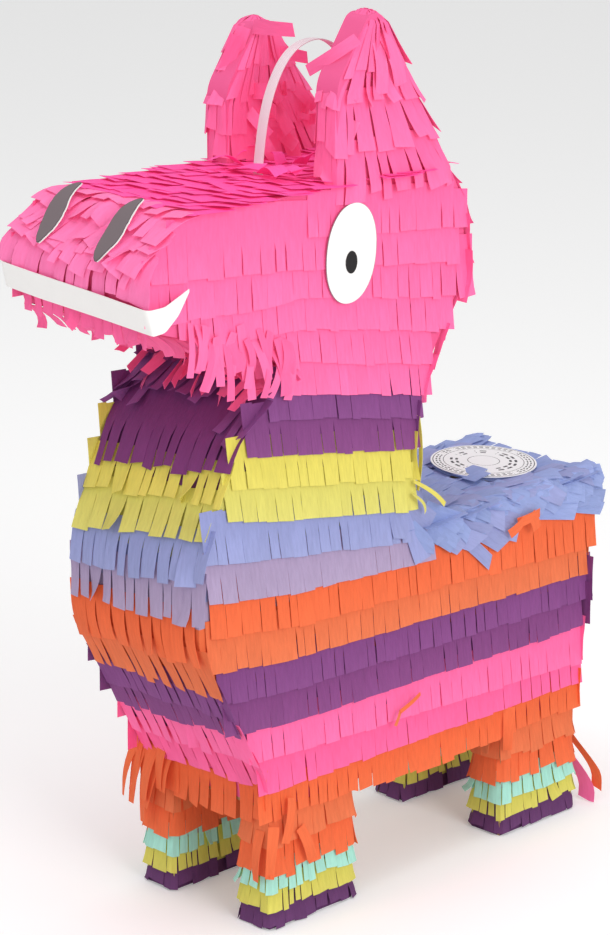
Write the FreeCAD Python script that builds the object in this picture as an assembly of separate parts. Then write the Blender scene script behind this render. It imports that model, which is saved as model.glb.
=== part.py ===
import FreeCAD, Part
import math
import os

# A cardboard party pinata in the shape of a standing pony: two die-cut side panels joined by bent
# edge panels, box legs and ears, covered in rows of cut tissue, with a hanging ribbon, a fill hole
# under a round label and a loose tail of streamers.
#
# Millimetres. X runs across the animal (+X is its left side), -Y is where it looks, +Z is up.
# The origin is on the ground under the middle of the object. Outlines are drawn with stations:
# s runs back from a point just inside the front of the muzzle and z up from the soles.

os.makedirs("parts", exist_ok=True)
V = FreeCAD.Vector

# ---- driving dimensions ----------------------------------------------------------------------
WIDTH = 120.0            # across the whole body, tissue included
TISSUE = 3.0             # thickness of the pasted rows of tissue
BOARD = 2.0              # corrugated board
LABEL_STOCK = 0.5        # printed label, eyes, nostrils and mouth
SLACK = 0.05             # glue line between a cut-out and the tissue under it

HALF = WIDTH / 2 - TISSUE            # outer face of a side panel
INNER = HALF - BOARD                 # inner face of a side panel
OUTER = HALF + TISSUE                # outer face of the tissue

BELLY_Z = 80.0           # underside of the trunk
BACK_Z = 236.0           # top of the back board
CROWN_Z = 467.0          # top of the head board
RUMP_S = 401.0           # rear of the rump at the back board
FRONT_LEG = (95.0, 169.0)            # stations of the front leg's front and rear faces
HIND_LEG = (313.0, 387.0)
LEG_INNER_X = 31.5       # leg's inner board face, from the middle
EAR_INNER_X = 39.0       # ear's inner board face, from the middle
EAR_S = (154.0, 254.0)   # foot of the ear
EAR_TIP_Z = {"left": 577.0, "right": 563.0}
EAR_TIP_S = 187.0

LABEL_S = 355.0          # centre of the fill label
LABEL_R = 36.0
FLAP_R = 31.0            # the hole in the back board
FLAP_GAP = 0.8           # cut line round the flap

RIBBON_W = 8.0           # width of the woven ribbon
RIBBON_T = 0.6
RIBBON_FEET_S = (143.0, 236.0)       # slits in the crown
RIBBON_TOP_Z = 546.0

TAIL_Z = 160.0           # where the streamers hang from
TAIL_S = 402.0           # the plane they hang in
TAIL_TILT = 20.0         # degrees that they lean towards the left leg
STREAMER_T = 1.2

LABEL_AXIS_S = LABEL_S + LABEL_R + 0.5
NOSE_FRONT_S = -6.6      # foremost point of the muzzle board's bend
FRONT_S = NOSE_FRONT_S - TISSUE
REAR_S = RUMP_S + TISSUE - 0.75       # the rump's rounded top corner leans in a little
MIDDLE_S = (FRONT_S + REAR_S) / 2    # this station is at Y = 0

# ---- outlines, as corners (station, height, corner radius) -------------------------------------
BODY_OUTLINE = [
    (FRONT_LEG[0], BELLY_Z, 0),
    (FRONT_LEG[0], 94.0, 20),        # top of the front leg
    (36.5, 196.0, 45),               # chest
    (37.0, 250.0, 60),
    (66.0, 318.0, 60),               # front of the neck
    (114.0, 366.0, 8),               # throat
    (3.0, 402.0, 6),                 # chin
    (-9.0, 438.0, 16),               # nose
    (22.0, CROWN_Z, 28),             # bridge of the nose
    (EAR_S[1], CROWN_Z, 8),          # back of the crown
    (268.0, 443.0, 16),
    (269.0, 396.0, 18),              # back of the head
    (224.0, 322.0, 40),
    (217.0, BACK_Z, 0),              # foot of the neck
    (RUMP_S, BACK_Z, 8),
    (HIND_LEG[1], BELLY_Z, 0),
]
LEG_OUTLINE = [
    (HIND_LEG[1], 0, 0),
    (HIND_LEG[0], 0, 0),
    (HIND_LEG[0], BELLY_Z, 0),
    (FRONT_LEG[1], BELLY_Z, 0),
    (FRONT_LEG[1], 0, 0),
    (FRONT_LEG[0], 0, 0),
]


def ear_outline(side):
    """A tall triangle with a nearly upright front edge and a rounded tip."""
    tip_z = EAR_TIP_Z[side]
    return [
        (EAR_S[0], CROWN_Z, 0),
        (EAR_S[0], tip_z - 48, 25),
        (EAR_TIP_S, tip_z, 10),
        (EAR_S[1], CROWN_Z, 0),
    ]


def side_outline(side):
    """The body with its legs and one ear, as the side panel is cut."""
    crown_end = 9                    # place of the back of the crown in the body's outline
    before_ear = BODY_OUTLINE[1:crown_end]
    behind_ear = BODY_OUTLINE[crown_end + 1:]
    return before_ear + ear_outline(side) + behind_ear + LEG_OUTLINE


# ---- helpers -----------------------------------------------------------------------------------
def point(s, z, x=0.0):
    return V(x, s - MIDDLE_S, z)


def outline_wire(corners):
    """Straight runs between the corners, each corner rounded by a tangent arc of its radius."""
    edges = []
    ends = []
    count = len(corners)
    for i, (s, z, radius) in enumerate(corners):
        here = point(s, z)
        before = point(*corners[i - 1][:2]) - here
        after = point(*corners[(i + 1) % count][:2]) - here
        before.normalize()
        after.normalize()
        if radius == 0:
            ends.append((here, here, None))
            continue
        half_angle = before.getAngle(after) / 2
        reach = radius / math.tan(half_angle)
        bisector = before + after
        bisector.normalize()
        centre = here + bisector * (radius / math.sin(half_angle))
        middle = centre - bisector * radius
        ends.append((here + before * reach, here + after * reach, middle))
    for i, (start, end, middle) in enumerate(ends):
        if middle is not None:
            edges.append(Part.Arc(start, middle, end).toShape())
        following = ends[(i + 1) % count][0]
        if end.distanceToPoint(following) > 1e-6:
            edges.append(Part.LineSegment(end, following).toShape())
    return Part.Wire(edges)


def face_of(corners, grow=0.0):
    """The flat shape inside an outline, grown or shrunk all round."""
    wire = outline_wire(corners)
    if grow:
        wire = wire.makeOffset2D(grow, 2 if grow < 0 else 0)
    return Part.Face(wire)


def slab(face, x0, x1):
    """A flat shape in the YZ plane made solid from x0 to x1."""
    return face.translated(V(x0, 0, 0)).extrude(V(x1 - x0, 0, 0))


def box(x, s, z):
    """A box between two X values, two stations and two heights."""
    return Part.makeBox(x[1] - x[0], s[1] - s[0], z[1] - z[0], point(s[0], z[0], x[0]))


def region(corners, x=200.0):
    """A straight-sided cutting block through the whole width."""
    return slab(face_of([(s, z, 0) for s, z in corners]), -x, x)


def disc(s, z, radius, thickness, x=0.0):
    """An upright-axis disc whose underside is at z."""
    return Part.makeCylinder(radius, thickness, point(s, z, x), V(0, 0, 1))


def oval_prism(centre, half_long, half_short, long_way, normal, depth):
    """An elliptic prism centred on a point, its long half-axis along long_way."""
    ellipse = Part.Ellipse(centre, half_long, half_short)
    ellipse.Axis = normal
    ellipse.XAxis = long_way
    face = Part.Face(Part.Wire(ellipse.toShape()))
    return face.translated(normal * (-depth / 2)).extrude(normal * depth)


def mirrored(shape):
    return shape.mirror(V(0, 0, 0), V(1, 0, 0))


def save(name, *solids):
    """Writes one node: a single solid, or a group of separate ones."""
    found = [piece for shape in solids for piece in shape.Solids]
    for piece in found:
        if not piece.isValid():
            print("INVALID", name)
    shape = found[0] if len(found) == 1 else Part.makeCompound(found)
    shape.exportStep("parts/" + name + ".step")
    print(name, len(found), "solid(s)", round(shape.Volume), "mm3")
    SAVED[name] = shape


SAVED = {}
SIDES = {"left": 1, "right": -1}


# ---- cardboard ---------------------------------------------------------------------------------
def make_side_panels():
    for side, sign in SIDES.items():
        panel = slab(face_of(side_outline(side)), INNER, HALF)
        save("side_panel_" + side, panel if sign > 0 else mirrored(panel))


def edge_band():
    """The bent strip of board that closes the body between the side panels."""
    outer = slab(face_of(BODY_OUTLINE), -INNER, INNER)
    hollow = slab(face_of(BODY_OUTLINE, -BOARD), -INNER, INNER)
    return outer.cut(hollow)


EDGE_PANELS = {
    "chest_panel": [(0, 82), (150, 82), (150, 290), (0, 290)],
    "throat_panel": [(0, 290), (150, 290), (150, 366), (119, 362), (113, 362), (60, 366)],
    "chin_panel": [(-20, 406), (60, 366), (113, 362), (119, 362), (119, 390), (9, 420), (9, 406)],
    "muzzle_panel": [(-20, 406), (9, 406), (9, 420), (60, 440), (60, 480), (-20, 480)],
    "crown_panel": [(60, 440), (60, 480), (240, 480), (240, 440)],
    "nape_panel": [(240, 480), (290, 480), (290, 300), (225, 236), (200, 236), (200, 300), (240, 400)],
    "back_panel": [(200, 230), (387, 230), (387, 236), (200, 236)],
    "rump_panel": [(387, 240), (387, 230), (340, 150), (340, 82), (420, 82), (420, 240)],
    "belly_panel": [(80, 82), (400, 82), (400, 70), (80, 70)],
}


def make_edge_panels():
    band = edge_band()
    slits = [box((-4.5, 4.5), (s - 0.8, s + 0.8), (400, 500)) for s in RIBBON_FEET_S]
    fill_hole = disc(LABEL_S, BACK_Z - 20, FLAP_R, 40)
    for name, corners in EDGE_PANELS.items():
        panel = band.common(region(corners))
        if name == "crown_panel":
            panel = panel.cut(Part.makeCompound(slits))
        if name == "back_panel":
            panel = panel.cut(fill_hole)
        save(name, panel)


def leg_stations(place):
    return FRONT_LEG if place.startswith("front") else HIND_LEG


LEGS = [(end + "_" + side, sign) for end in ("front", "hind") for side, sign in SIDES.items()]


def make_legs():
    """Each leg is a bent channel that the side panel closes, with a sole let into its foot."""
    for place, sign in LEGS:
        s0, s1 = leg_stations(place)
        outside = box((LEG_INNER_X, INNER), (s0, s1), (0, BELLY_Z))
        inside_x = (LEG_INNER_X + BOARD, INNER)
        hollow = box(inside_x, (s0 + BOARD, s1 - BOARD), (0, BELLY_Z))
        sole = box(inside_x, (s0 + BOARD, s1 - BOARD), (0, BOARD))
        channel = outside.cut(hollow)
        save("leg_channel_" + place, channel if sign > 0 else mirrored(channel))
        save("sole_" + place, sole if sign > 0 else mirrored(sole))


def make_ears():
    """Each ear is a shallow tray glued behind the ear shape of the side panel."""
    for side, sign in SIDES.items():
        tray = slab(face_of(ear_outline(side)), EAR_INNER_X, INNER)
        hollow = slab(face_of(ear_outline(side), -BOARD), EAR_INNER_X + BOARD, INNER)
        shell = tray.cut(hollow)
        save("ear_shell_" + side, shell if sign > 0 else mirrored(shell))


# ---- tissue ------------------------------------------------------------------------------------
HOOF_TOP = 14.0
YELLOW_TOP = 25.0
MINT_TOP = 36.0
LEG_RING_TOP = BELLY_Z - 0.5
ARCH_BOTTOM = 68.0       # the row that hangs along the edge of the belly
PINK_BOTTOM = 91.0
FAR_FRONT, FAR_REAR = -30.0, 440.0
FOOT_CLEAR = 1.0         # hoof rows stop just short of the ground
SADDLE_FRONT_S = 219.0
SADDLE_BOTTOM = 226.0    # how far the saddle hangs down the sides

# Where one colour meets the next, front to rear.
COLOUR_LINES = [
    [(FAR_FRONT, 700), (FAR_REAR, 700)],
    [(FAR_FRONT, 371), (224, 326), (FAR_REAR, 326)],
    [(FAR_FRONT, 312), (60, 310), (219, 291), (FAR_REAR, 291)],
    [(FAR_FRONT, 268), (80, 268), (219, 250), (FAR_REAR, 250)],
    [(FAR_FRONT, 222), (219, 214), (219, SADDLE_BOTTOM), (FAR_REAR, SADDLE_BOTTOM)],
    [(FAR_FRONT, 178), (FAR_REAR, 166)],
    [(FAR_FRONT, 136), (FAR_REAR, 130)],
    [(FAR_FRONT, PINK_BOTTOM), (FAR_REAR, PINK_BOTTOM)],
    [(FAR_FRONT, BELLY_Z), (FAR_REAR, BELLY_Z)],
]
COLOUR_BANDS = [
    "head_fringe_pink",
    "neck_fringe_purple",
    "neck_fringe_yellow",
    "shoulder_fringe_blue",
    "body_fringe_orange",
    "body_fringe_purple",
    "body_fringe_pink",
    "belly_edge_fringe_orange",
]


def tissue_skin():
    """A layer of tissue over every outer face of the body."""
    outer = slab(face_of(BODY_OUTLINE, TISSUE), -OUTER, OUTER)
    core = slab(face_of(BODY_OUTLINE), -HALF, HALF)
    return outer.cut(core)


def ear_block(side, grow):
    """The ear and its board, grown all round, from the crown up."""
    x0, x1 = EAR_INNER_X - grow, HALF + grow
    block = slab(face_of(ear_outline(side), grow) if grow else face_of(ear_outline(side)), x0, x1)
    block = block.common(box((0, 100), (100, 300), (CROWN_Z, 700)))
    return block if SIDES[side] > 0 else mirrored(block)


def make_body_tissue():
    skin = tissue_skin()
    ears = [ear_block(side, TISSUE) for side in SIDES]
    slits = [box((-4.5, 4.5), (s - 0.8, s + 0.8), (400, 500)) for s in RIBBON_FEET_S]
    saddle_zone = box((-100, 100), (SADDLE_FRONT_S, 440), (SADDLE_BOTTOM, BACK_Z + TISSUE))
    fill_hole = disc(LABEL_S, BACK_Z - 20, FLAP_R, 40)
    for index, name in enumerate(COLOUR_BANDS):
        upper = COLOUR_LINES[index]
        lower = COLOUR_LINES[index + 1]
        band = skin.common(region(upper + lower[::-1]))
        if name == "head_fringe_pink":
            band = band.cut(Part.makeCompound(ears + slits))
        if index in (3, 4):
            band = band.cut(saddle_zone)
        save(name, band)
    save("saddle_fringe_blue", skin.common(saddle_zone).cut(fill_hole))
    for side in SIDES:
        save("ear_fringe_" + side, ear_block(side, TISSUE).cut(ear_block(side, 0.0)))


def leg_ring(place, sign, low, high):
    """Tissue round the four faces of a leg, between two heights."""
    s0, s1 = leg_stations(place)
    outer = box((LEG_INNER_X - TISSUE, OUTER), (s0 - TISSUE, s1 + TISSUE), (low, high))
    core = box((LEG_INNER_X, HALF), (s0, s1), (low, high))
    ring = outer.cut(core)
    return ring if sign > 0 else mirrored(ring)


def make_leg_tissue():
    for place, sign in LEGS:
        save("leg_fringe_orange_" + place, leg_ring(place, sign, MINT_TOP, LEG_RING_TOP))
        save("hoof_fringe_purple_" + place, leg_ring(place, sign, FOOT_CLEAR, HOOF_TOP))
    save("cuff_fringe_mint", *[leg_ring(*leg, YELLOW_TOP, MINT_TOP) for leg in LEGS])
    save("cuff_fringe_yellow", *[leg_ring(*leg, HOOF_TOP, YELLOW_TOP) for leg in LEGS])


# ---- face --------------------------------------------------------------------------------------
EYE_S, EYE_Z = 162.0, 426.0
EYE_HALF = (31.0, 23.0)
EYE_LEAN = 8.0           # degrees that the top leans back
PUPIL_S, PUPIL_Z = 163.0, 420.0
PUPIL_HALF = (7.0, 5.5)
NOSTRIL_X, NOSTRIL_S, NOSTRIL_Z = 27.0, 8.5, 458.5
NOSTRIL_HALF = (24.0, 7.0)
NOSTRIL_SLOPE = 40.0     # degrees down from level, towards the front
MOUTH_Z = (404.0, 420.0)
# The lip's corners on the side of the muzzle, from in front of it: station, height.
SMILE_LIP = [(-20, 404), (-20, 420), (20, 421), (34, 426), (24, 415), (14, 407), (6, 404)]


def make_eyes():
    lean = math.radians(EYE_LEAN)
    upright = V(0, math.sin(lean), math.cos(lean))
    across = V(1, 0, 0)
    for side, sign in SIDES.items():
        eye_x = OUTER + SLACK + LABEL_STOCK / 2
        pupil_x = eye_x + LABEL_STOCK
        eye = oval_prism(point(EYE_S, EYE_Z, eye_x), *EYE_HALF, upright, across, LABEL_STOCK)
        pupil = oval_prism(
            point(PUPIL_S, PUPIL_Z, pupil_x), *PUPIL_HALF, upright, across, LABEL_STOCK
        )
        save("eye_" + side, eye if sign > 0 else mirrored(eye))
        save("pupil_" + side, pupil if sign > 0 else mirrored(pupil))


def card_on_tissue(half_width=OUTER):
    """A thin layer just outside the tissue, all along the body's outline."""
    near = TISSUE + SLACK
    outer = slab(face_of(BODY_OUTLINE, near + LABEL_STOCK), -half_width, half_width)
    inner = slab(face_of(BODY_OUTLINE, near), -half_width, half_width)
    return outer.cut(inner)


def make_nostrils_and_mouth():
    layer = card_on_tissue()
    slope = math.radians(NOSTRIL_SLOPE)
    down_front = V(0, -math.cos(slope), -math.sin(slope))
    outward = V(0, -math.sin(slope), math.cos(slope))
    for side, sign in SIDES.items():
        centre = point(NOSTRIL_S, NOSTRIL_Z, NOSTRIL_X)
        nostril = layer.common(oval_prism(centre, *NOSTRIL_HALF, down_front, outward, 44))
        save("nostril_" + side, nostril if sign > 0 else mirrored(nostril))
    thick = SLACK + LABEL_STOCK
    front = card_on_tissue(OUTER + thick).common(box((-100, 100), (-30, 30), MOUTH_Z))
    within = face_of(BODY_OUTLINE, TISSUE + thick).common(face_of([(s, z, 0) for s, z in SMILE_LIP]))
    lip = slab(within, OUTER + SLACK, OUTER + thick)
    save("mouth_band", front.fuse([lip, mirrored(lip)]).removeSplitter())


# ---- fill flap -----------------------------------------------------------------------------------
def make_fill_flap():
    radius = FLAP_R - FLAP_GAP
    top = BACK_Z + TISSUE
    save("fill_flap", disc(LABEL_S, BACK_Z - BOARD, radius, BOARD))
    save("flap_tissue", disc(LABEL_S, BACK_Z, radius, TISSUE))
    save("fill_label", disc(LABEL_S, top + SLACK, LABEL_R, LABEL_STOCK))
    print("flap axis station", LABEL_AXIS_S - MIDDLE_S, "height", top)


# ---- hanging ribbon ------------------------------------------------------------------------------
HANGER_Z = CROWN_Z - 2 * BOARD       # underside of the stiffening plate
KNOT_R = 6.0
KNOT_TAIL_R = 2.0
RIBBON_AXIS_Z = CROWN_Z + TISSUE + RIBBON_W / 2 + 0.3
# Corners of the loop's route as (station, height), from the front slit to the rear one.
RIBBON_ROUTE = [
    (RIBBON_FEET_S[0], RIBBON_AXIS_Z),
    (RIBBON_FEET_S[0] + 3, 500),
    (RIBBON_FEET_S[0] + 13, 526),
    (RIBBON_FEET_S[0] + 27, 543),
    (RIBBON_FEET_S[0] + 47, 549),
    (RIBBON_FEET_S[0] + 66, 543),
    (RIBBON_FEET_S[0] + 80, 526),
    (RIBBON_FEET_S[0] + 90, 500),
    (RIBBON_FEET_S[1], RIBBON_AXIS_Z),
]


def route_wire(route):
    """Straight runs joined by tangent arcs; each radius is set by the shorter run and the turn."""
    points = [point(s, z) for s, z in route]
    edges = []
    start = points[0]
    radii = []
    for before, here, after in zip(points, points[1:], points[2:]):
        incoming = before - here
        outgoing = after - here
        shorter = min(incoming.Length, outgoing.Length)
        incoming.normalize()
        outgoing.normalize()
        turn = math.pi - incoming.getAngle(outgoing)
        reach = 0.45 * shorter
        radius = reach / math.tan(turn / 2)
        radii.append(round(radius, 1))
        bisector = incoming + outgoing
        bisector.normalize()
        centre = here + bisector * math.hypot(reach, radius)
        arc_in = here + incoming * reach
        arc_out = here + outgoing * reach
        edges.append(Part.LineSegment(start, arc_in).toShape())
        edges.append(Part.Arc(arc_in, centre - bisector * radius, arc_out).toShape())
        start = arc_out
    edges.append(Part.LineSegment(start, points[-1]).toShape())
    print("ribbon radii", radii)
    return Part.Wire(edges)


def make_ribbon():
    wire = route_wire(RIBBON_ROUTE)
    radius = RIBBON_W / 2
    first = point(*RIBBON_ROUTE[0])
    last = point(*RIBBON_ROUTE[-1])
    section = Part.Wire(Part.Circle(first, wire.Edges[0].tangentAt(0), radius).toShape())
    tube = wire.makePipeShell([section], True, False)
    print("ribbon length", wire.Length, "volume ratio", tube.Volume / (math.pi * radius**2 * wire.Length))
    ends = [Part.makeSphere(radius, end) for end in (first, last)]
    save("ribbon_loop", tube.fuse(ends))


def make_hanger():
    """A stiffening plate under the crown, and the ribbon's tied ends below it."""
    front, rear = RIBBON_FEET_S
    half = RIBBON_W / 2
    plate = box((-34, 34), (front - 16, rear - 4 + 16), (HANGER_Z, CROWN_Z - BOARD))
    slits = [box((-half - 0.5, half + 0.5), (s - 0.8, s + 0.8), (400, 500)) for s in RIBBON_FEET_S]
    save("hanger_plate", plate.cut(Part.makeCompound(slits)))
    strap_z = (HANGER_Z - RIBBON_T - 0.1, HANGER_Z - 0.1)
    strap = box((-half, half), (front - RIBBON_T / 2, rear + RIBBON_T / 2), strap_z)
    tabs = [
        box((-half, half), (s - RIBBON_T / 2, s + RIBBON_T / 2), (strap_z[0], CROWN_Z + TISSUE - 0.2))
        for s in RIBBON_FEET_S
    ]
    knot_s = (front + rear) / 2
    knot_z = strap_z[1] - KNOT_R
    knot = Part.makeSphere(KNOT_R, point(knot_s, knot_z))
    tails = [
        Part.makeCylinder(KNOT_TAIL_R, 18, point(knot_s, knot_z, sign * 2), V(sign, -0.2, -0.5))
        for sign in SIDES.values()
    ]
    save("ribbon_ends", strap.fuse(tabs + [knot] + tails))


# ---- tail ----------------------------------------------------------------------------------------
# Each streamer bundle: its two edges either side of the pivot, and its length.
STREAMERS = {
    "tail_streamer_pink": (-18.0, -4.5, 158.0),
    "tail_streamer_orange": (-3.5, 10.0, 148.0),
}


def make_tail():
    """A glued tab on the rump and two flat bundles of streamers that hang from it."""
    tab_z = (TAIL_Z + 4, TAIL_Z + 24)
    rump = card_on_tissue()
    tab = rump.common(box((-9, 9), (380, 420), tab_z))
    save("tail_tab", tab)
    pivot = point(TAIL_S, TAIL_Z)
    lean = math.radians(TAIL_TILT)
    for name, (x0, x1, length) in STREAMERS.items():
        strip = Part.makeBox(x1 - x0, STREAMER_T, length, V(x0, -STREAMER_T / 2, -length))
        strip.rotate(V(0, 0, 0), V(0, 1, 0), -math.degrees(lean))
        save(name, strip.translated(pivot))
    print("tail pivot", pivot)


make_side_panels()
make_edge_panels()
make_legs()
make_ears()
make_body_tissue()
make_leg_tissue()
make_eyes()
make_nostrils_and_mouth()
make_fill_flap()
make_ribbon()
make_hanger()
make_tail()

whole = Part.makeCompound([shape for name, shape in SAVED.items() if name != "ribbon_loop"])
print("nodes", len(SAVED), "box", whole.BoundBox)
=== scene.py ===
import math

import bpy
import numpy as np
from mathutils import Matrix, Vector


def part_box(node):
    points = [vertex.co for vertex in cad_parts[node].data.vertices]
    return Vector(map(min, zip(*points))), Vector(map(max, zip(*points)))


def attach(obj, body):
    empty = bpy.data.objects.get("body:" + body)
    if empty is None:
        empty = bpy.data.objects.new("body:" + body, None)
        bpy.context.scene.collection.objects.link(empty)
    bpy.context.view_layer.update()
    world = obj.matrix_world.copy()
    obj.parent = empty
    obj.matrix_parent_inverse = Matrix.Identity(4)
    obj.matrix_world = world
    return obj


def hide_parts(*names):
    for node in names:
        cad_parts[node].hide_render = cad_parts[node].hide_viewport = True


# The looks of a cardboard pony pinata: every row of cut tissue is made strip by strip, pasted in
# its place on the board, with card eyes, nostrils and mouth, a printed label and a woven ribbon.
#
# Shapes are worked out in millimetres and stations, as the board is cut: s runs back from the
# muzzle, z up from the ground and x across, and the meshes are written in metres.

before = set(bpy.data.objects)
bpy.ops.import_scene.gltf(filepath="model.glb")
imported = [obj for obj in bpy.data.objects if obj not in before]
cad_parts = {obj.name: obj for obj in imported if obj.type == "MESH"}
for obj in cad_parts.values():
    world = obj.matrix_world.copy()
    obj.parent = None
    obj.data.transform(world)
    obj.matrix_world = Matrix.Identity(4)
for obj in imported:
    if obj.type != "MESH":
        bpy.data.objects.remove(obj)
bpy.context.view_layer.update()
M = 0.001

# ---- places taken from the frame ----
LEG_FRONT_S = 95.0                   # station of the front leg's front face
MIDDLE = LEG_FRONT_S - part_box("leg_channel_front_left")[0].y / M
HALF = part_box("side_panel_left")[1].x / M            # outer face of a side panel
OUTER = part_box("head_fringe_pink")[1].x / M          # outer face of the tissue
GROUND = 0.6                                         # lowest that a strip may hang
SIDE_EDGE, SIDE_ROOM = 63.5, 3.5     # past these, what sticks out is squeezed
END_EDGE, END_ROOM = 209.0, 8.0
NECK_S, RUMP_S, BACK_Z, CROWN_Z = 217.0, 401.0, 236.0, 467.0
LABEL_S, LABEL_R, HOLE_R = 355.0, 36.0, 31.0
EAR_TIP = {1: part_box("side_panel_left")[1].z / M, -1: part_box("side_panel_right")[1].z / M}


def pressed(height, limit):
    """Heights squeezed under a limit, each still above the ones below it."""
    return limit * (1 - np.exp(-height / limit))


def held(value, edge, room):
    """What reaches past an edge on either side is squeezed into the room beyond it."""
    return np.sign(value) * (np.minimum(np.abs(value), edge)
                             + pressed(np.clip(np.abs(value) - edge, 0, None), room))


def to_world(x, s, z):
    """Stations to the frame: metres, with y measured back from the middle."""
    x, y = held(x, SIDE_EDGE, SIDE_ROOM), held(s - MIDDLE, END_EDGE, END_ROOM)
    return np.stack(np.broadcast_arrays(x, y, z), -1) * M


# ---- camera ----
def make_camera():
    """A long lens, about 45 degrees round from the front and 16 above level."""
    turn, rise, distance = math.radians(44.95), math.radians(15.87), 2.029
    target = Vector((0.0, -0.013125, 0.2738))
    level = math.cos(rise)
    back = Vector((math.sin(turn) * level, -math.cos(turn) * level, math.sin(rise)))
    lens = bpy.data.cameras.new("camera")
    lens.lens = 122.4
    lens.clip_start = 0.05
    camera = bpy.data.objects.new("camera", lens)
    camera.location = target + back * distance
    camera.rotation_euler = back.to_track_quat("Z", "Y").to_euler()
    bpy.context.scene.collection.objects.link(camera)
    bpy.context.scene.camera = camera


make_camera()


# ---- colours ----
def srgb(red, green, blue):
    """Screen values 0 to 255 as linear light."""
    value = np.array([red, green, blue], float) / 255
    return np.where(value <= 0.04045, value / 12.92, ((value + 0.055) / 1.055) ** 2.4)


PINK = srgb(254, 114, 170)
PINK_DEEP = srgb(250, 104, 160)
# The same pink tissue made deeper on the crown: painted shade among the crown's strips.
PINK_CROWN_SHADED = srgb(255, 90, 172)
# The same pink lightened on the nose: painted light, so that the front-facing nose is as bright as the
# cheeks.
PINK_NOSE_LIT = srgb(255, 128, 184)
PURPLE = srgb(134, 74, 134)
PURPLE_RED = srgb(134, 72, 130)
PURPLE_DEEP = srgb(120, 56, 114)
YELLOW = srgb(224, 211, 102)
YELLOW_GREEN = srgb(218, 210, 112)
BLUE = srgb(152, 158, 204)
LAVENDER = srgb(172, 154, 186)
SADDLE_BLUE = srgb(148, 162, 210)
ORANGE = srgb(236, 110, 66)
ORANGE_BROWN = srgb(228, 118, 76)
MINT = srgb(168, 224, 208)
OLIVE = srgb(212, 204, 98)
PLUM = srgb(104, 60, 108)
KRAFT = srgb(188, 150, 108)
CARD_WHITE = srgb(250, 248, 246)
INK_BLACK = srgb(28, 24, 26)
CARD_GREY = srgb(120, 108, 112)


# ---- outlines ----
def rounded(corners, step=1.0):
    """A path through corners (s, z, radius): straight runs with a tangent arc at each corner,
    sampled every step millimetres, as arrays of distance, place and outward normal."""
    pts = np.array([c[:2] for c in corners], float)
    path = [pts[:1]]
    for before, here, after, radius in zip(pts, pts[1:], pts[2:], [c[2] for c in corners[1:]]):
        if radius == 0:
            path.append(here[None])
            continue
        back = (before - here) / np.linalg.norm(before - here)
        on = (after - here) / np.linalg.norm(after - here)
        half = math.acos(np.clip(back @ on, -1, 1)) / 2
        middle = (back + on) / np.linalg.norm(back + on)
        centre = here + middle * radius / math.sin(half)
        spread = math.pi / 2 - half
        lean = math.atan2(-middle[1], -middle[0])
        sense = -np.sign(back[0] * on[1] - back[1] * on[0])
        angle = lean + sense * np.linspace(-spread, spread, 12)
        path.append(centre + radius * np.stack([np.cos(angle), np.sin(angle)], -1))
    path.append(pts[-1:])
    path = np.concatenate(path)
    along = np.concatenate([[0], np.cumsum(np.linalg.norm(np.diff(path, axis=0), axis=1))])
    even = np.arange(0, along[-1], step)
    line = np.stack([np.interp(even, along, path[:, i]) for i in (0, 1)], -1)
    return even, line


class Outline:
    """A path over the body, walked the way the strips hang; turn is the side its normal is on."""

    def __init__(self, corners, turn):
        self.along, self.line = rounded(corners)
        tangent = np.gradient(self.line, self.along, axis=0)
        soft = np.hanning(9) / np.hanning(9).sum()
        padded = np.pad(tangent, ((4, 4), (0, 0)), mode="edge")
        tangent = np.stack([np.convolve(padded[:, i], soft, "valid") for i in (0, 1)], -1)
        tangent /= np.linalg.norm(tangent, axis=1, keepdims=True)
        self.tangent = tangent
        self.normal = turn * np.stack([-tangent[:, 1], tangent[:, 0]], -1)

    def at(self, sigma, height):
        """The point at a distance along the path and a height off it, straight past both ends."""
        inside = np.clip(sigma, 0, self.along[-1])
        past = sigma - inside
        pick = lambda column: np.interp(inside, self.along, column)
        s = pick(self.line[:, 0]) + past * pick(self.tangent[:, 0])
        z = pick(self.line[:, 1]) + past * pick(self.tangent[:, 1])
        return s + height * pick(self.normal[:, 0]), z + height * pick(self.normal[:, 1])

    def sigma_at_z(self, z):
        """How far along the path a height is reached, on a path that goes down all the way."""
        down = self.line[::-1]
        end = self.along[-1] + np.clip(down[0, 1] - z, 0, None)
        return np.where(z < down[0, 1], end, np.interp(z, down[:, 1], self.along[::-1]))


FACE = Outline([(262, CROWN_Z, 0), (22, CROWN_Z, 28), (-9, 438, 16), (3, 402, 0)], -1)
JAW = Outline([(3, 402, 0), (114, 366, 0)], -1)
CHEST = Outline([(114, 366, 0), (66, 318, 60), (37, 250, 60), (36.5, 196, 45), (95, 94, 20),
                 (95, 80, 0)], -1)
NAPE = Outline([(244, CROWN_Z, 0), (254, CROWN_Z, 8), (268, 443, 16), (269, 396, 18),
                (224, 322, 40), (NECK_S, BACK_Z, 0)], 1)
RUMP = Outline([(RUMP_S, BACK_Z, 0), (387, 80, 0)], 1)

# Front and rear edges of the side panel at each height, and its top edge along the head.
SIDE_FRONT = ([80, 94, 196, 250, 318, 366, 402, 438, 467], [95, 88, 38, 38, 66, 112, 3, -9, 18])
SIDE_REAR = ([80, 236, 237, 322, 396, 443, 467], [387, 401, 218, 226, 268, 267, 252])
HEAD_TOP = ([-9, 22, 252, 270], [438, 467, 467, 444])


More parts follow.
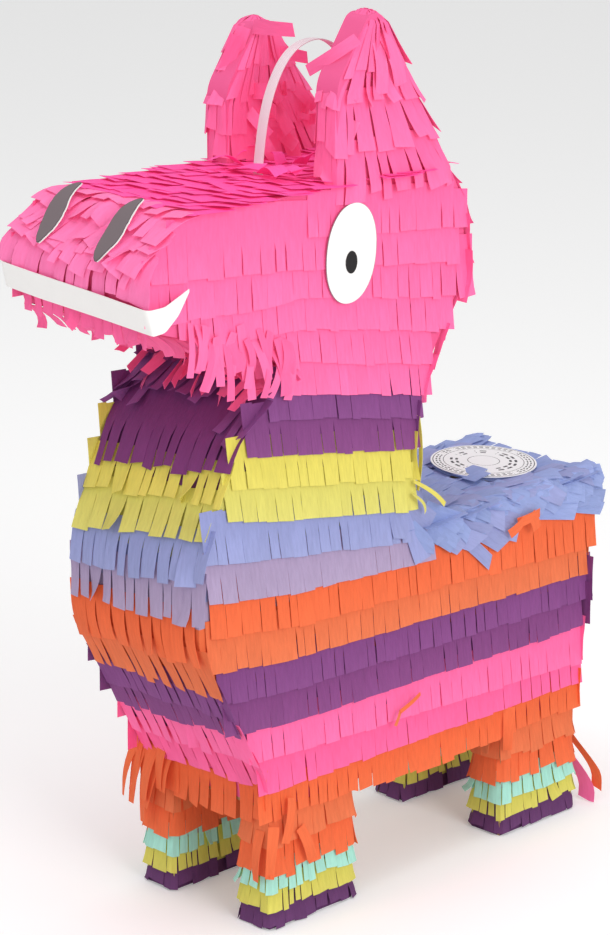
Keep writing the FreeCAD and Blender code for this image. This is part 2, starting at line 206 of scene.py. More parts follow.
# ---- strips of tissue ----
THICK = 0.24             # of a strip: two layers of crinkled tissue
STATIONS = 8             # points down a strip
ACROSS = np.array([-0.5, 0, 0.5, 0.5, 0, -0.5])
LAYER = np.array([1.0, 1, 1, 0, 0, 0])
FLAT = dict(
    wide=10.5,           # of a strip
    spread=0.35,         # how much widths differ
    slit=0.40,           # share of the row above the cuts
    slant=0.0,           # radians that the whole row leans
    swing=0.014,         # radians that single strips swing by their tips
    lift=1.8,            # tips stand off the board
    base=0.5,            # the pasted edge stands off the board
    curl=0.04,           # radians that tips curl out
    twist=0.05,          # radians that tips twist
    cup=0.15,            # how far a strip's middle bulges
    gap=1.1,             # width that an open cut opens to
    open=0.28,           # share of cuts that stand open
    taper=0.01,
    ragged=0.014,        # how much lengths differ
    skew=0.02,           # slope of the cut end
    wild=0.02,           # share of strips that stray
    stray=6.0,           # how much more they stray
    shade=0.022,         # how much tints differ
    deep=0.12,           # how much darker and richer a strip is at its pasted top: partly painted shade under the row above, partly the richer colour of overlapping layers
)


def down_strip(values, step):
    """Adds up a direction along each strip, from its pasted edge to its tip."""
    middle = (values[:, 1:] + values[:, :-1]) / 2 * step[:, None]
    return np.concatenate([np.zeros((len(values), 1)), np.cumsum(middle, 1)], 1)


def strips(rng, place, centre, width, length, tint, start=0.0, **style):
    """Closed thin strips. Each is a centre line that starts straight down the surface, then turns
    by its swing (in the surface) and curl (off it), with a cupped section of three points a side
    that twists towards the tip. place maps (across, down, height) to stations."""
    look = {**FLAT, **style}
    count = len(centre)
    draw = lambda: rng.normal(size=count)
    stray = np.where(rng.random(count) < look["wild"], look["stray"], 1.0)
    length = length * np.ones(count) * (1 + look["ragged"] * draw())
    width = np.asarray(width, float)
    t = np.linspace(0, 1, STATIONS)[None]
    free = np.clip((t - look["slit"]) / (1 - look["slit"]), 0, 1)
    step = length / (STATIONS - 1)
    swing = look["slant"] + (look["swing"] * stray * draw())[:, None] * free
    rise = 1.5 * look["lift"] * np.sqrt(t) / length[:, None]
    curl = (look["curl"] * stray * (np.abs(draw()) + 0.15))[:, None] * free**2
    pitch = np.arctan(rise) + curl
    wave = look["cup"] * rng.normal(size=(count, STATIONS)) * 0.35 * free
    a = np.asarray(centre)[:, None] + down_strip(np.sin(swing) * np.cos(pitch), step)
    start = np.broadcast_to(start, count)[:, None]
    d = start + down_strip(np.cos(swing) * np.cos(pitch), step)
    order = 0.26 * rng.integers(0, 3, count)[:, None] * np.clip(free * 3, 0, 1)
    h = look["base"] + down_strip(np.sin(pitch), step) + order + wave
    roll = (look["twist"] * stray * draw())[:, None] * free**1.5
    gap = look["gap"] * np.where(rng.random(count) < look["open"], 1.0, 0.1)
    wide = width[:, None] * (1 - look["taper"] * free) - gap[:, None] * np.clip(free * 4, 0, 1)
    offset = wide[..., None] * ACROSS
    cup = (look["cup"] * (0.6 + 0.4 * rng.random(count)))[:, None] * np.clip(free * 3, 0, 1)
    out = LAYER * THICK + cup[..., None] * (1 - 4 * ACROSS**2)
    sw, cw, sp, cp = (f(x)[..., None] for x in (swing, pitch) for f in (np.sin, np.cos))
    sr, cr = np.sin(roll)[..., None], np.cos(roll)[..., None]
    side = [cw * cr - sw * sp * sr, -sw * cr - cw * sp * sr, cp * sr]
    face = [-sw * sp * cr - cw * sr, -cw * sp * cr + sw * sr, cp * cr]
    square = math.tan(look["slant"]) + look["skew"] * draw()
    cut = square[:, None, None] * offset * (t == 1)[..., None]
    a = a[..., None] + offset * side[0] + out * face[0] + cut * sw * cp
    d = d[..., None] + offset * side[1] + out * face[1] + cut * cw * cp
    h = h[..., None] + offset * side[2] + out * face[2] + cut * sp
    h = np.maximum(h, 0.2 + THICK * LAYER)
    x, s, z = place(a, d, h)
    z = np.maximum(z, GROUND + THICK * LAYER)
    tone = 1 + look["shade"] * draw()[:, None, None] * np.clip(free * 6, 0, 1)[..., None]
    # Darker, richer tint towards each strip's pasted top, fading to the tip: partly painted shade under
    # the row above, partly the richer colour of overlapping layers.
    overlap_and_shade_power = 1 + look["deep"] * (1 - t[..., None] ** 1.5)
    colour = (tint ** overlap_and_shade_power[..., None]) * tone[..., None]
    colour = np.broadcast_to(colour, x.shape + (3,))
    uv = np.stack(np.broadcast_arrays(
        (offset + 40 * rng.random(count)[:, None, None]),
        (length[:, None] * t)[..., None] + 90 * rng.random(count)[:, None, None],
    ), -1) * 0.1
    return to_world(x, s, z), colour, uv


def drawn_widths(rng, reach, style):
    """Widths for more strips than a reach needs: the usual width, varied evenly by its spread."""
    look = {**FLAT, **style}
    count = int(reach / look["wide"] * 1.6) + 3
    return look["wide"] * (1 + look["spread"] * rng.uniform(-1, 1, count))


def row(rng, place, span, length, tint, **style):
    """A row of strips cut one after another across a span."""
    width = drawn_widths(rng, span[1] - span[0], style)
    edge = span[0] + np.concatenate([[0], np.cumsum(width)])
    keep = edge[1:] < span[1] + 0.5 * style.get("wide", FLAT["wide"])
    left, width = edge[:-1][keep], width[keep]
    return strips(rng, place, left + width / 2, width, length, tint, **style)


SIDE_QUADS = np.array([[t * 6 + k, t * 6 + (k + 1) % 6, t * 6 + 6 + (k + 1) % 6, t * 6 + 6 + k]
                       for t in range(STATIONS - 1) for k in range(6)])
TIP = (STATIONS - 1) * 6
END_QUADS = np.array([[5, 4, 1, 0], [4, 3, 2, 1],
                      [TIP, TIP + 1, TIP + 4, TIP + 5], [TIP + 1, TIP + 2, TIP + 3, TIP + 4]])
STRIP_QUADS = np.concatenate([SIDE_QUADS, END_QUADS])


def new_mesh(name, points, quads, colour=None, uv=None):
    """A mesh object from arrays of points and quads, with a tint and a pattern place per point."""
    mesh = bpy.data.meshes.new(name)
    mesh.vertices.add(len(points))
    mesh.vertices.foreach_set("co", points.astype(np.float32).ravel())
    mesh.loops.add(quads.size)
    mesh.loops.foreach_set("vertex_index", quads.astype(np.int32).ravel())
    mesh.polygons.add(len(quads))
    mesh.polygons.foreach_set("loop_start", np.arange(0, quads.size, 4, dtype=np.int32))
    mesh.update(calc_edges=True)
    if colour is not None:
        tint = np.concatenate([colour, np.ones((len(colour), 1))], 1)
        layer = mesh.color_attributes.new("tissue", "FLOAT_COLOR", "POINT")
        layer.data.foreach_set("color", tint.astype(np.float32).ravel())
    if uv is not None:
        layer = mesh.uv_layers.new(name="pattern")
        layer.data.foreach_set("uv", uv[quads.ravel()].astype(np.float32).ravel())
    mesh.polygons.foreach_set("use_smooth", np.ones(len(quads), bool))
    mesh.set_sharp_from_angle(angle=math.radians(40))
    mesh.validate()
    piece = bpy.data.objects.new(name, mesh)
    bpy.context.scene.collection.objects.link(piece)
    return piece


def slab(name, top, bottom, uv, tint=None):
    """A thin closed sheet: two grids of points, rows down and columns across, joined round their
    rims, and turned so that top faces away from bottom."""
    rows, columns = top.shape[:2]
    count = rows * columns
    index = np.arange(count).reshape(rows, columns)
    upper = np.stack([index[:-1, :-1], index[:-1, 1:], index[1:, 1:], index[1:, :-1]], -1)
    upper = upper.reshape(-1, 4)
    rim = np.concatenate([index[0], index[1:, -1], index[-1, -2::-1], index[-2:0:-1, 0]])
    after = np.roll(rim, -1)
    wall = np.stack([rim, rim + count, after + count, after], -1)
    quads = np.concatenate([upper, (upper + count)[:, ::-1], wall])
    across = top[rows // 2, -1] - top[rows // 2, 0]
    down = top[-1, columns // 2] - top[0, columns // 2]
    if np.cross(across, down) @ (top - bottom).mean((0, 1)) < 0:
        quads = quads[:, ::-1]
    points = np.concatenate([top.reshape(-1, 3), bottom.reshape(-1, 3)])
    colour = None if tint is None else np.broadcast_to(tint, points.shape)
    return new_mesh(name, points, quads, colour, np.tile(uv.reshape(-1, 2), (2, 1)))


def strip_piece(name, groups):
    """One mesh of many strips, each one's quads turned so that they face outwards."""
    points, colour, uv = (np.concatenate(x) for x in zip(*groups))
    count = len(points)
    mid = STATIONS // 2
    along = points[:, mid, 1] - points[:, mid, 0]
    down = points[:, mid + 1, 0] - points[:, mid, 0]
    outward = points[:, mid, 0] - points[:, mid, 5]
    wrong = (np.cross(along, down) * outward).sum(1) < 0
    quads = np.broadcast_to(STRIP_QUADS, (count,) + STRIP_QUADS.shape).copy()
    quads[wrong] = quads[wrong][:, :, ::-1]
    quads += (np.arange(count) * STATIONS * 6)[:, None, None]
    flat = lambda x: x.reshape(-1, x.shape[-1])
    return new_mesh(name, flat(points), flat(quads), flat(colour), flat(uv))


# ---- where rows lie ----
EYE_S, EYE_Z = 163.0, 425.5


def on_side(sign, line, length):
    """A row on a side face: its tips follow a line of (station, height) points."""
    ends = np.array(line, float).T
    def place(a, d, h):
        z = np.interp(a, *ends) + length - d
        under_eye = ((a - EYE_S) / 28) ** 2 + ((z - EYE_Z) / 38) ** 2 < 1
        under_mouth = (a < 34) & (z > 396) & (z < 436)
        room = np.where(under_eye, 3.2, np.where(under_mouth, 4.2, 9.0))
        return sign * (HALF + pressed(h, room)), a, z
    return place


def on_outline(path, tips, length):
    """A row across an outline: tips is where they end along it, at the right and the left edge."""
    def place(a, d, h):
        end = tips[0] + (tips[1] - tips[0]) * (a + OUTER) / (2 * OUTER)
        s, z = path.at(np.maximum(end - length + d, 0.0), h)
        return a, s, z
    return place


def side_rows(rng, line, length, tint, low=0.55, **style):
    """The same row on both sides of the body, cut off where the panel's edges are."""
    groups = []
    ends = np.array(line, float).T
    first, last = ends[0, 0], ends[0, -1]
    for sign in (1, -1):
        width = drawn_widths(rng, last - first, style)
        centre = first + np.cumsum(width) - width / 2
        tip = np.interp(centre, *ends)
        check = tip + length * (1 - low)
        inside = (centre > np.interp(check, *SIDE_FRONT)) & (centre < np.interp(check, *SIDE_REAR))
        inside &= centre < last
        centre, width, tip = centre[inside], width[inside], tip[inside]
        top = np.interp(centre, *HEAD_TOP)
        start = np.clip(tip + length - top, 0, length - 12)
        groups.append(strips(rng, on_side(sign, line, length), centre, width,
                             length - start, tint, start=start, **style))
    return groups


def cross_rows(rng, path, tips, length, tint, span=(-60.0, 60.0), **style):
    """One row across the body on an outline, its tips given as heights at both edges."""
    ends = path.sigma_at_z(np.array(tips, float))
    return [row(rng, on_outline(path, ends, length), span, length, tint, **style)]


# ---- materials ----
def feed(tree, made, sockets):
    """Sets a node's inputs: a value goes on the socket, another node's output is linked to it."""
    for key, value in sockets.items():
        if isinstance(value, bpy.types.NodeSocket):
            tree.links.new(value, made.inputs[key])
        else:
            made.inputs[key].default_value = value


def node(tree, kind, sockets=None, **settings):
    """A new shader node with its settings and inputs."""
    made = tree.nodes.new(kind)
    for key, value in settings.items():
        setattr(made, key, value)
    feed(tree, made, sockets or {})
    return made


def calc(tree, kind, *inputs):
    """The output of a Math node."""
    return node(tree, "ShaderNodeMath", dict(enumerate(inputs)), operation=kind).outputs[0]


def blend(tree, factor, first, second):
    """The output of a colour Mix node: first where the factor is 0, second where it is 1."""
    return node(tree, "ShaderNodeMix", {0: factor, 6: first, 7: second}, data_type="RGBA").outputs[2]


def pattern_place(tree):
    """A piece's own UV map, in centimetres across and down each strip or card."""
    return node(tree, "ShaderNodeUVMap", uv_map="pattern").outputs["UV"]


def object_place(tree):
    """Object coordinates, in metres in the frame."""
    return node(tree, "ShaderNodeTexCoord").outputs["Object"]


def opaque(tint):
    """A colour with its alpha."""
    return (*tint, 1)


def paper_grain_group():
    """Paper fibres: Shade is a mask near one, Height a relief of long creases and fine crinkle."""
    group = bpy.data.node_groups.new("paper_grain", "ShaderNodeTree")
    face = group.interface
    face.new_socket("Vector", in_out="INPUT", socket_type="NodeSocketVector")
    for label, value in (("Crease Scale", 6.0), ("Fibre Scale", 60.0), ("Strength", 0.1)):
        made = face.new_socket(label, in_out="INPUT", socket_type="NodeSocketFloat")
        made.default_value = value
    for label in ("Shade", "Height"):
        face.new_socket(label, in_out="OUTPUT", socket_type="NodeSocketFloat")
    given = node(group, "NodeGroupInput").outputs
    stretch = node(group, "ShaderNodeVectorMath", {0: given["Vector"], 1: (1.0, 0.16, 1.0)},
                   operation="MULTIPLY")
    crease = node(group, "ShaderNodeTexNoise", {
        "Vector": stretch.outputs[0], "Scale": given["Crease Scale"], "Detail": 3.0, "Roughness": 0.55})
    fibre = node(group, "ShaderNodeTexNoise", {
        "Vector": given["Vector"], "Scale": given["Fibre Scale"], "Detail": 4.0, "Roughness": 0.7})
    height = calc(group, "MULTIPLY_ADD", fibre.outputs["Fac"], 0.35, crease.outputs["Fac"])
    centred = calc(group, "SUBTRACT", height, 0.67)
    shade = calc(group, "MULTIPLY_ADD", centred, given["Strength"], 1.0)
    node(group, "NodeGroupOutput", {"Shade": shade, "Height": height})
    return group


GRAIN = paper_grain_group()


def material(name, rough=0.8, gloss=0.5):
    made = bpy.data.materials.new(name)
    made.use_nodes = True
    shader = made.node_tree.nodes["Principled BSDF"]
    feed(made.node_tree, shader, {"Roughness": rough, "Specular IOR Level": gloss})
    return made, made.node_tree, shader


def grained(tree, shader, colour, vector, crease, fibre, strength, bump):
    """Places the paper grain: its shade times the colour, and its height as a bump."""
    grain = node(tree, "ShaderNodeGroup", {
        "Vector": vector, "Crease Scale": crease, "Fibre Scale": fibre, "Strength": strength,
    }, node_tree=GRAIN)
    tinted = node(tree, "ShaderNodeVectorMath", {0: colour, "Scale": grain.outputs["Shade"]},
                  operation="SCALE")
    relief = node(tree, "ShaderNodeBump", {
        "Strength": bump, "Distance": 0.0006, "Height": grain.outputs["Height"]})
    feed(tree, shader, {"Base Color": tinted.outputs[0], "Normal": relief.outputs["Normal"]})


def tissue_material(name):
    """Crinkled tissue: the strip's own tint, creased down its length, with a faint painted glow in its
    tint that stands in for light through the tissue.
    """
    made, tree, shader = material(name, rough=0.72, gloss=0.25)
    tint = node(tree, "ShaderNodeAttribute", attribute_name="tissue").outputs["Color"]
    grained(tree, shader, tint, pattern_place(tree), 5.0, 45.0, 0.34, 0.7)
    # Painted glow: the tint emits faintly and lifts the shade between strips, as light through the
    # tissue would.
    feed(tree, shader, {"Emission Color": tint, "Emission Strength": 0.07})
    return made


TISSUE = {name: tissue_material("tissue_" + name)
          for name in ("pink", "purple", "yellow", "blue", "orange", "mint")}


def wear(piece, finish, slot, body, *nodes):
    """Gives a piece its finish, hides the plain nodes it stands for, and lets it ride a body."""
    piece.data.materials.append(finish)
    if nodes:
        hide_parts(*nodes)
    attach(piece, body)


def wear_tissue(piece, colour, *nodes, body="root"):
    """The same for a piece of tissue, in one of the tissue colours."""
    wear(piece, TISSUE[colour], "tissue_" + colour, body, *nodes)


# ---- rows of tissue on the body ----
def lay(rng, colour, name, skin, rows):
    """One piece of tissue. A row holds its outline (None for both side faces), where its tips end,
    its length, tint and style."""
    groups = []
    for path, tips, length, tint, style in rows:
        if path is None:
            groups += side_rows(rng, tips, length, tint, **style)
        else:
            groups += cross_rows(rng, path, tips, length, tint, **style)
    wear_tissue(strip_piece(name, groups), colour, skin)


FRONT = dict(open=0.6, gap=1.5, swing=0.035, lift=2.2, curl=0.07, twist=0.10, skew=0.07, wild=0.07,
             ragged=0.035, cup=0.25, slit=0.30, wide=10.5, slant=0.10, stray=5.0)
LOOSE = dict(gap=1.7, open=0.8, swing=0.10, lift=3.2, curl=0.22, twist=0.25, skew=0.30, wild=0.14,
             ragged=0.09, cup=0.4, slit=0.25, wide=9.0, stray=4.0)
CROWN_TOP = dict(swing=0.08, lift=1.8, curl=0.03, twist=0.04, skew=0.12, wild=0.05, ragged=0.14,
                 gap=0.3, open=0.6, wide=15.0, spread=0.5, slit=0.25, stray=3.0, cup=0.15, base=0.4)


def make_head():
    """Rows on both cheeks, over the crown and down the nose, on the jaw and down the nape."""
    rng = np.random.default_rng(11)
    groups = []
    cheek = dict(slit=0.50, wide=11.5)
    groups += side_rows(rng, [(128, 440), (207, 432), (271, 426)], 30, PINK, slant=-0.04, **cheek)
    groups += side_rows(rng, [(-9, 432), (62, 426), (109, 423), (234, 408), (272, 403)], 42, PINK,
                        **dict(cheek, slit=0.6))
    groups += side_rows(rng, [(-6, 406), (97, 402), (119, 404), (234, 386), (272, 381)], 40, PINK,
                        **cheek)
    groups += side_rows(rng, [(20, 396), (66, 384), (119, 385), (235, 365), (270, 359)], 38, PINK,
                        slant=0.03, slit=0.45, low=0.8)
    groups += side_rows(rng, [(50, 384), (90, 372), (119, 364), (235, 343), (260, 340)], 36, PINK,
                        slant=0.08, slit=0.4, low=0.8)
    groups += side_rows(rng, [(80, 354), (117, 345), (229, 324), (240, 322)], 36, PINK, slant=0.08,
                        slit=0.4)
    groups += side_rows(rng, [(0, 398), (60, 380), (116, 360)], 26, PINK, low=0.95,
                        **dict(LOOSE, lift=2.2))
    # from the crown forward, down the nose
    for tip in np.arange(16, 234, 12.5):
        lean = rng.uniform(-2.5, 2.5)
        ends = (tip + lean, tip - lean)
        length = min(30.0, tip)
        groups.append(row(rng, on_outline(FACE, ends, length), (-61, 61), length, PINK_CROWN_SHADED,
                          **CROWN_TOP))
    nose = dict(FRONT, wide=13.0, gap=2.2, slit=0.30, lift=2.4, slant=-0.06, swing=0.06, wild=0.10,
                ragged=0.05, spread=0.4, base=0.4)
    for tips, long, lean, last in (((466, 464), 34, 0.0, 61), ((459, 452), 34, -0.10, 63),
                                   ((444, 436), 34, -0.22, 65), ((428, 417), 34, -0.30, 67)):
        groups += cross_rows(rng, FACE, tips, long, PINK_NOSE_LIT, span=(-59, last),
                             **dict(nose, slant=lean))
    over = dict(nose, wide=11.5, gap=2.4, open=0.9, swing=0.13, slant=-0.34, curl=0.14, lift=3.4,
                ragged=0.14, skew=0.18)
    groups += cross_rows(rng, FACE, (449, 441), 24, PINK_NOSE_LIT, span=(-54, 64), **over)
    groups += cross_rows(rng, FACE, (442, 428), 22, PINK_NOSE_LIT, span=(-52, 62), **over)
    groups += cross_rows(rng, FACE, (402, 392), 24, PINK_DEEP, span=(-52, 58),
                         **dict(LOOSE, wide=8.0))
    for tip in (26, 50, 74, 98, 122):
        groups.append(row(rng, on_outline(JAW, (tip, tip), 32), (-58, 58), 32, PINK_DEEP,
                          **dict(LOOSE, lift=6.0, curl=0.4)))
    groups += cross_rows(rng, CHEST, (356, 344), 22, PINK_DEEP, span=(-20, 60), **dict(LOOSE, lift=9.0))
    # down the back of the head and neck
    for tip in (450, 428, 405, 384, 362, 342, 323):
        groups += cross_rows(rng, NAPE, (tip, tip - 2), 32, PINK, **dict(LOOSE, lift=2.8, curl=0.25))
    wear_tissue(strip_piece("head_tissue_pink", groups), "pink", "head_fringe_pink")


def make_neck():
    """Purple, yellow and light blue rows, two of each round the neck and shoulder."""
    rng = np.random.default_rng(12)
    lean = dict(slant=0.10)
    low = dict(lean, low=0.9)
    nape = dict(LOOSE, lift=2.0, curl=0.12, wild=0.08)
    throat = dict(LOOSE, lift=5.0, slit=0.1, wild=0.2)
    lay(rng, "purple", "neck_tissue_purple", "neck_fringe_purple", [
        (None, [(60, 337), (118, 329), (225, 310)], 34, PURPLE, lean),
        (None, [(50, 317), (114, 307), (222, 290)], 34, PURPLE_RED, lean),
        (CHEST, (350, 344), 24, PURPLE_DEEP, throat),
        (CHEST, (336, 334), 30, PURPLE, dict(throat, span=(-60, 20))),
        (CHEST, (293, 304), 66, PURPLE_DEEP, dict(FRONT, slit=0.62, gap=1.8)),
        (CHEST, (326, 330), 30, PURPLE, dict(LOOSE, span=(-60, -36))),
        (CHEST, (324, 320), 36, PURPLE, dict(LOOSE, span=(36, 60))),
        (NAPE, (309, 309), 32, PURPLE, nape),
        (NAPE, (290, 290), 32, PURPLE, nape),
    ])
    lay(rng, "yellow", "neck_tissue_yellow", "neck_fringe_yellow", [
        (None, [(40, 299), (111, 288), (221, 270)], 33, YELLOW, lean),
        (None, [(36, 279), (116, 266), (221, 249)], 32, YELLOW_GREEN, lean),
        (CHEST, (277, 285), 30, YELLOW, FRONT),
        (CHEST, (254, 266), 33, YELLOW_GREEN, FRONT),
        (NAPE, (270, 270), 32, YELLOW, nape),
        (NAPE, (249, 249), 32, YELLOW, nape),
    ])
    lay(rng, "blue", "shoulder_tissue_blue", "shoulder_fringe_blue", [
        (None, [(30, 254), (112, 243), (232, 227)], 34, BLUE, low),
        (None, [(30, 229), (111, 219), (236, 212)], 34, LAVENDER, low),
        (CHEST, (231, 241), 34, BLUE, FRONT),
        (CHEST, (211, 215), 34, LAVENDER, FRONT),
    ])


def make_trunk():
    """Orange, purple and pink rows round the trunk, and one along the belly's edge."""
    rng = np.random.default_rng(13)
    lean = dict(slant=0.05)
    rear = dict(FRONT, slant=0.0, lift=2.0)
    lay(rng, "orange", "body_tissue_orange", "body_fringe_orange", [
        (None, [(30, 208), (111, 197), (402, 186)], 40, ORANGE, lean),
        (None, [(30, 185), (111, 176), (402, 168)], 34, ORANGE_BROWN, lean),
        (CHEST, (186, 190), 36, ORANGE, FRONT),
        (CHEST, (164, 168), 36, ORANGE_BROWN, FRONT),
        (RUMP, (212, 212), 24, ORANGE, rear),
        (RUMP, (188, 188), 34, ORANGE, rear),
        (RUMP, (167, 167), 34, ORANGE_BROWN, rear),
    ])
    lay(rng, "purple", "body_tissue_purple", "body_fringe_purple", [
        (None, [(38, 162), (111, 156), (400, 150)], 32, PURPLE, lean),
        (None, [(45, 140), (111, 135), (397, 131)], 32, PURPLE_RED, lean),
        (CHEST, (147, 152), 32, PURPLE, FRONT),
        (CHEST, (131, 139), 32, PURPLE_RED, FRONT),
        (RUMP, (149, 149), 32, PURPLE, rear),
        (RUMP, (131, 131), 32, PURPLE_RED, rear),
    ])
    lay(rng, "pink", "body_tissue_pink", "body_fringe_pink", [
        (None, [(55, 118), (138, 113), (395, 105)], 32, PINK, lean),
        (None, [(62, 93), (392, 91)], 32, PINK_DEEP, lean),
        (CHEST, (110, 118), 32, PINK, FRONT),
        (CHEST, (90, 98), 32, PINK_DEEP, FRONT),
        (RUMP, (107, 107), 32, PINK, rear),
        (RUMP, (90, 90), 32, PINK_DEEP, rear),
    ])
    arch = [(84, 74), (168, 74), (171, 72), (311, 71), (314, 74), (389, 74)]
    rows = [(None, arch, 27, ORANGE, dict(low=0.3, wild=0.06, ragged=0.04))]
    for span, front, back in (((-60, -30), 72, 74), ((30, 60), 72, 74), ((-30, 30), 68, 68)):
        rows.append((CHEST, (front, front), 28, ORANGE, dict(FRONT, span=span)))
        rows.append((RUMP, (back, back), 28, ORANGE, dict(rear, span=span)))
    lay(rng, "orange", "belly_edge_tissue_orange", "belly_edge_fringe_orange", rows)


# ---- legs ----
def squared_ring(power, half_a, half_b, samples=400):
    """A squared-off oval as unit factors against the share of the way round it."""
    angle = np.linspace(0, 2 * np.pi, samples + 1)
    u = np.sign(np.cos(angle)) * np.abs(np.cos(angle)) ** (2 / power)
    v = np.sign(np.sin(angle)) * np.abs(np.sin(angle)) ** (2 / power)
    run = np.hypot(np.diff(u * half_a), np.diff(v * half_b))
    share = np.concatenate([[0], np.cumsum(run)]) / run.sum()
    return share, u, v, run.sum()


LEG_HALF = (12.75, 37.0)
LEG_RING = squared_ring(14, *LEG_HALF)
LEG_X = 44.25
LEG_CENTRES = {"front": 132.0, "hind": 350.0}


def on_leg(sign, centre_s, tip, length):
    """A row round a leg: the share of the way round, then straight down."""
    share, u, v, around = LEG_RING
    def place(a, d, h):
        turn = (a / around + 0.5) % 1
        z = tip + length - d
        grow_a, grow_b = LEG_HALF[0] + h, LEG_HALF[1] + h
        x = LEG_X + np.interp(turn, share, u) * grow_a
        s = centre_s + np.interp(turn, share, v) * grow_b
        return sign * x, s, z
    return place


def make_legs():
    """Rings of tissue on each leg from the top down: two orange, a mint and a yellow cuff, a hoof."""
    rng = np.random.default_rng(14)
    round_leg = (0, LEG_RING[3] - 4)
    short = dict(gap=1.2, open=0.5, swing=0.04, lift=2.2, curl=0.08, ragged=0.05, skew=0.06,
                 wild=0.06, slit=0.3, spread=0.4)
    narrow = dict(short, wide=8.0, gap=1.3)
    low = dict(short, lift=2.0, slit=0.55, open=0.35, wide=11.0)
    cuffs = {"mint": [], "yellow": []}
    for end, centre in LEG_CENTRES.items():
        for sign, side in ((1, "left"), (-1, "right")):
            ring = lambda tip, length, tint, style: row(
                rng, on_leg(sign, centre, tip, length), round_leg, length, tint, **style)
            place = "_%s_%s" % (end, side)
            orange = [ring(56, 24, ORANGE_BROWN, short), ring(37, 32, ORANGE, short)]
            wear_tissue(strip_piece("leg_tissue_orange" + place, orange), "orange",
                        "leg_fringe_orange" + place)
            cuffs["mint"].append(ring(25, 21, MINT, narrow))
            cuffs["yellow"].append(ring(13, 21, OLIVE, narrow))
            wear_tissue(strip_piece("hoof_tissue_purple" + place, [ring(1.2, 21, PLUM, low)]),
                        "purple", "hoof_fringe_purple" + place)
    for name, groups in cuffs.items():
        wear_tissue(strip_piece("cuff_tissue_" + name, groups), name, "cuff_fringe_" + name)


# ---- ears ----
EAR_HALF = (10.0, 33.0)
EAR_RING = squared_ring(9, *EAR_HALF)
EAR_X = 48.2
EAR_FRONT_S, EAR_REAR_S, EAR_POINT_S = 154.0, 254.0, 187.0


def on_ear(sign, tips, length):
    """A row round an ear, whose section narrows to its point; tips is (height outside, inside)."""
    share, u, v, around = EAR_RING
    point = EAR_TIP[sign] + 1.5
    def place(a, d, h):
        turn = (a / around + 0.5) % 1
        cross, along = np.interp(turn, share, u), np.interp(turn, share, v)
        h = np.where(cross < 0, pressed(h, 3.8), h)
        tip = np.where(cross > 0.5, tips[0], tips[1])
        z = tip + length - d
        rise = np.clip((z - CROWN_Z) / (point - CROWN_Z), 0, 1)
        front = EAR_FRONT_S + 29 * np.clip((z - point + 50) / 50, 0, 1)
        rear = EAR_REAR_S + (EAR_POINT_S + 5 - EAR_REAR_S) * rise
        closing = np.sqrt(np.clip((point + 2 - z) / 8, 0.04, 1))
        s = (front + rear) / 2 + along * closing * ((rear - front) / 2 + h)
        x = EAR_X + cross * closing * (EAR_HALF[0] - 0.6 + h)
        return sign * x, s, np.minimum(z, point + 0.8 * h)
    return place


def make_ears():
    """Four rings on each ear, which follow its tip down on the right, where the ear is lower."""
    rng = np.random.default_rng(15)
    around = EAR_RING[3]
    ear = dict(gap=1.5, open=0.6, swing=0.05, lift=1.5, curl=0.07, twist=0.12, wild=0.12,
               ragged=0.06, skew=0.10, slit=0.25, wide=9.8, spread=0.45, stray=5.0, base=0.3)
    for sign, side in ((1, "left"), (-1, "right")):
        drop = EAR_TIP[1] - EAR_TIP[sign]
        groups = []
        for tips, long in (((537, 537), 46), ((513, 514), 38), ((487, 492), 38), ((458, 470), 36)):
            low = tuple(np.array(tips) - drop * np.clip((tips[0] - CROWN_Z) / 90, 0, 1))
            groups.append(row(rng, on_ear(sign, low, long), (0, around - 4), long, PINK, **ear))
        wear_tissue(strip_piece("ear_tissue_" + side, groups), "pink", "ear_fringe_" + side)


# ---- saddle ----
def fallen_row(rng, sign, first, last, turn, inset, reach, tint, fold, **style):
    """Strips that lie back over the rounded top edge: on the unfolded sheet each starts a little
    in from the edge and runs at its own angle to it, so the row is a loose fan. The sheet then
    folds down round a five millimetre arc, unless it lies on the side face from the start."""
    count = int((last - first) / 10) + 2
    root = (np.linspace(first, last, count) + rng.uniform(-6, 6, count))[:, None, None]
    width = style["wide"] * (1 + 0.3 * rng.uniform(-1, 1, count))
    lean = np.linspace(*turn, count) + 0.13 * rng.normal(size=count)
    back, down = np.cos(lean)[:, None, None], np.sin(lean)[:, None, None]
    long = np.minimum(reach * rng.uniform(0.72, 1.2, count), (410 - root.ravel()) / back.ravel())
    radius, top = 5.0, 238.0
    arc = radius * math.pi / 2
    def place(a, d, h):
        s = root + d * back + a * down
        q = d * down - a * back - inset
        if fold:
            angle = np.clip(q / arc + 0.5, 0, 1) * math.pi / 2
            on_top, below = np.minimum(q + arc / 2, 0), np.maximum(q - arc / 2, 0)
        else:
            angle, on_top, below = math.pi / 2, 0.0, q
        h = pressed(h, 7.5)
        x = HALF - radius + on_top + (radius + h) * np.sin(angle)
        z = top - radius - below + (radius + h) * np.cos(angle)
        return sign * x, s, z
    return strips(rng, place, np.zeros(count), width, long, tint, **style)


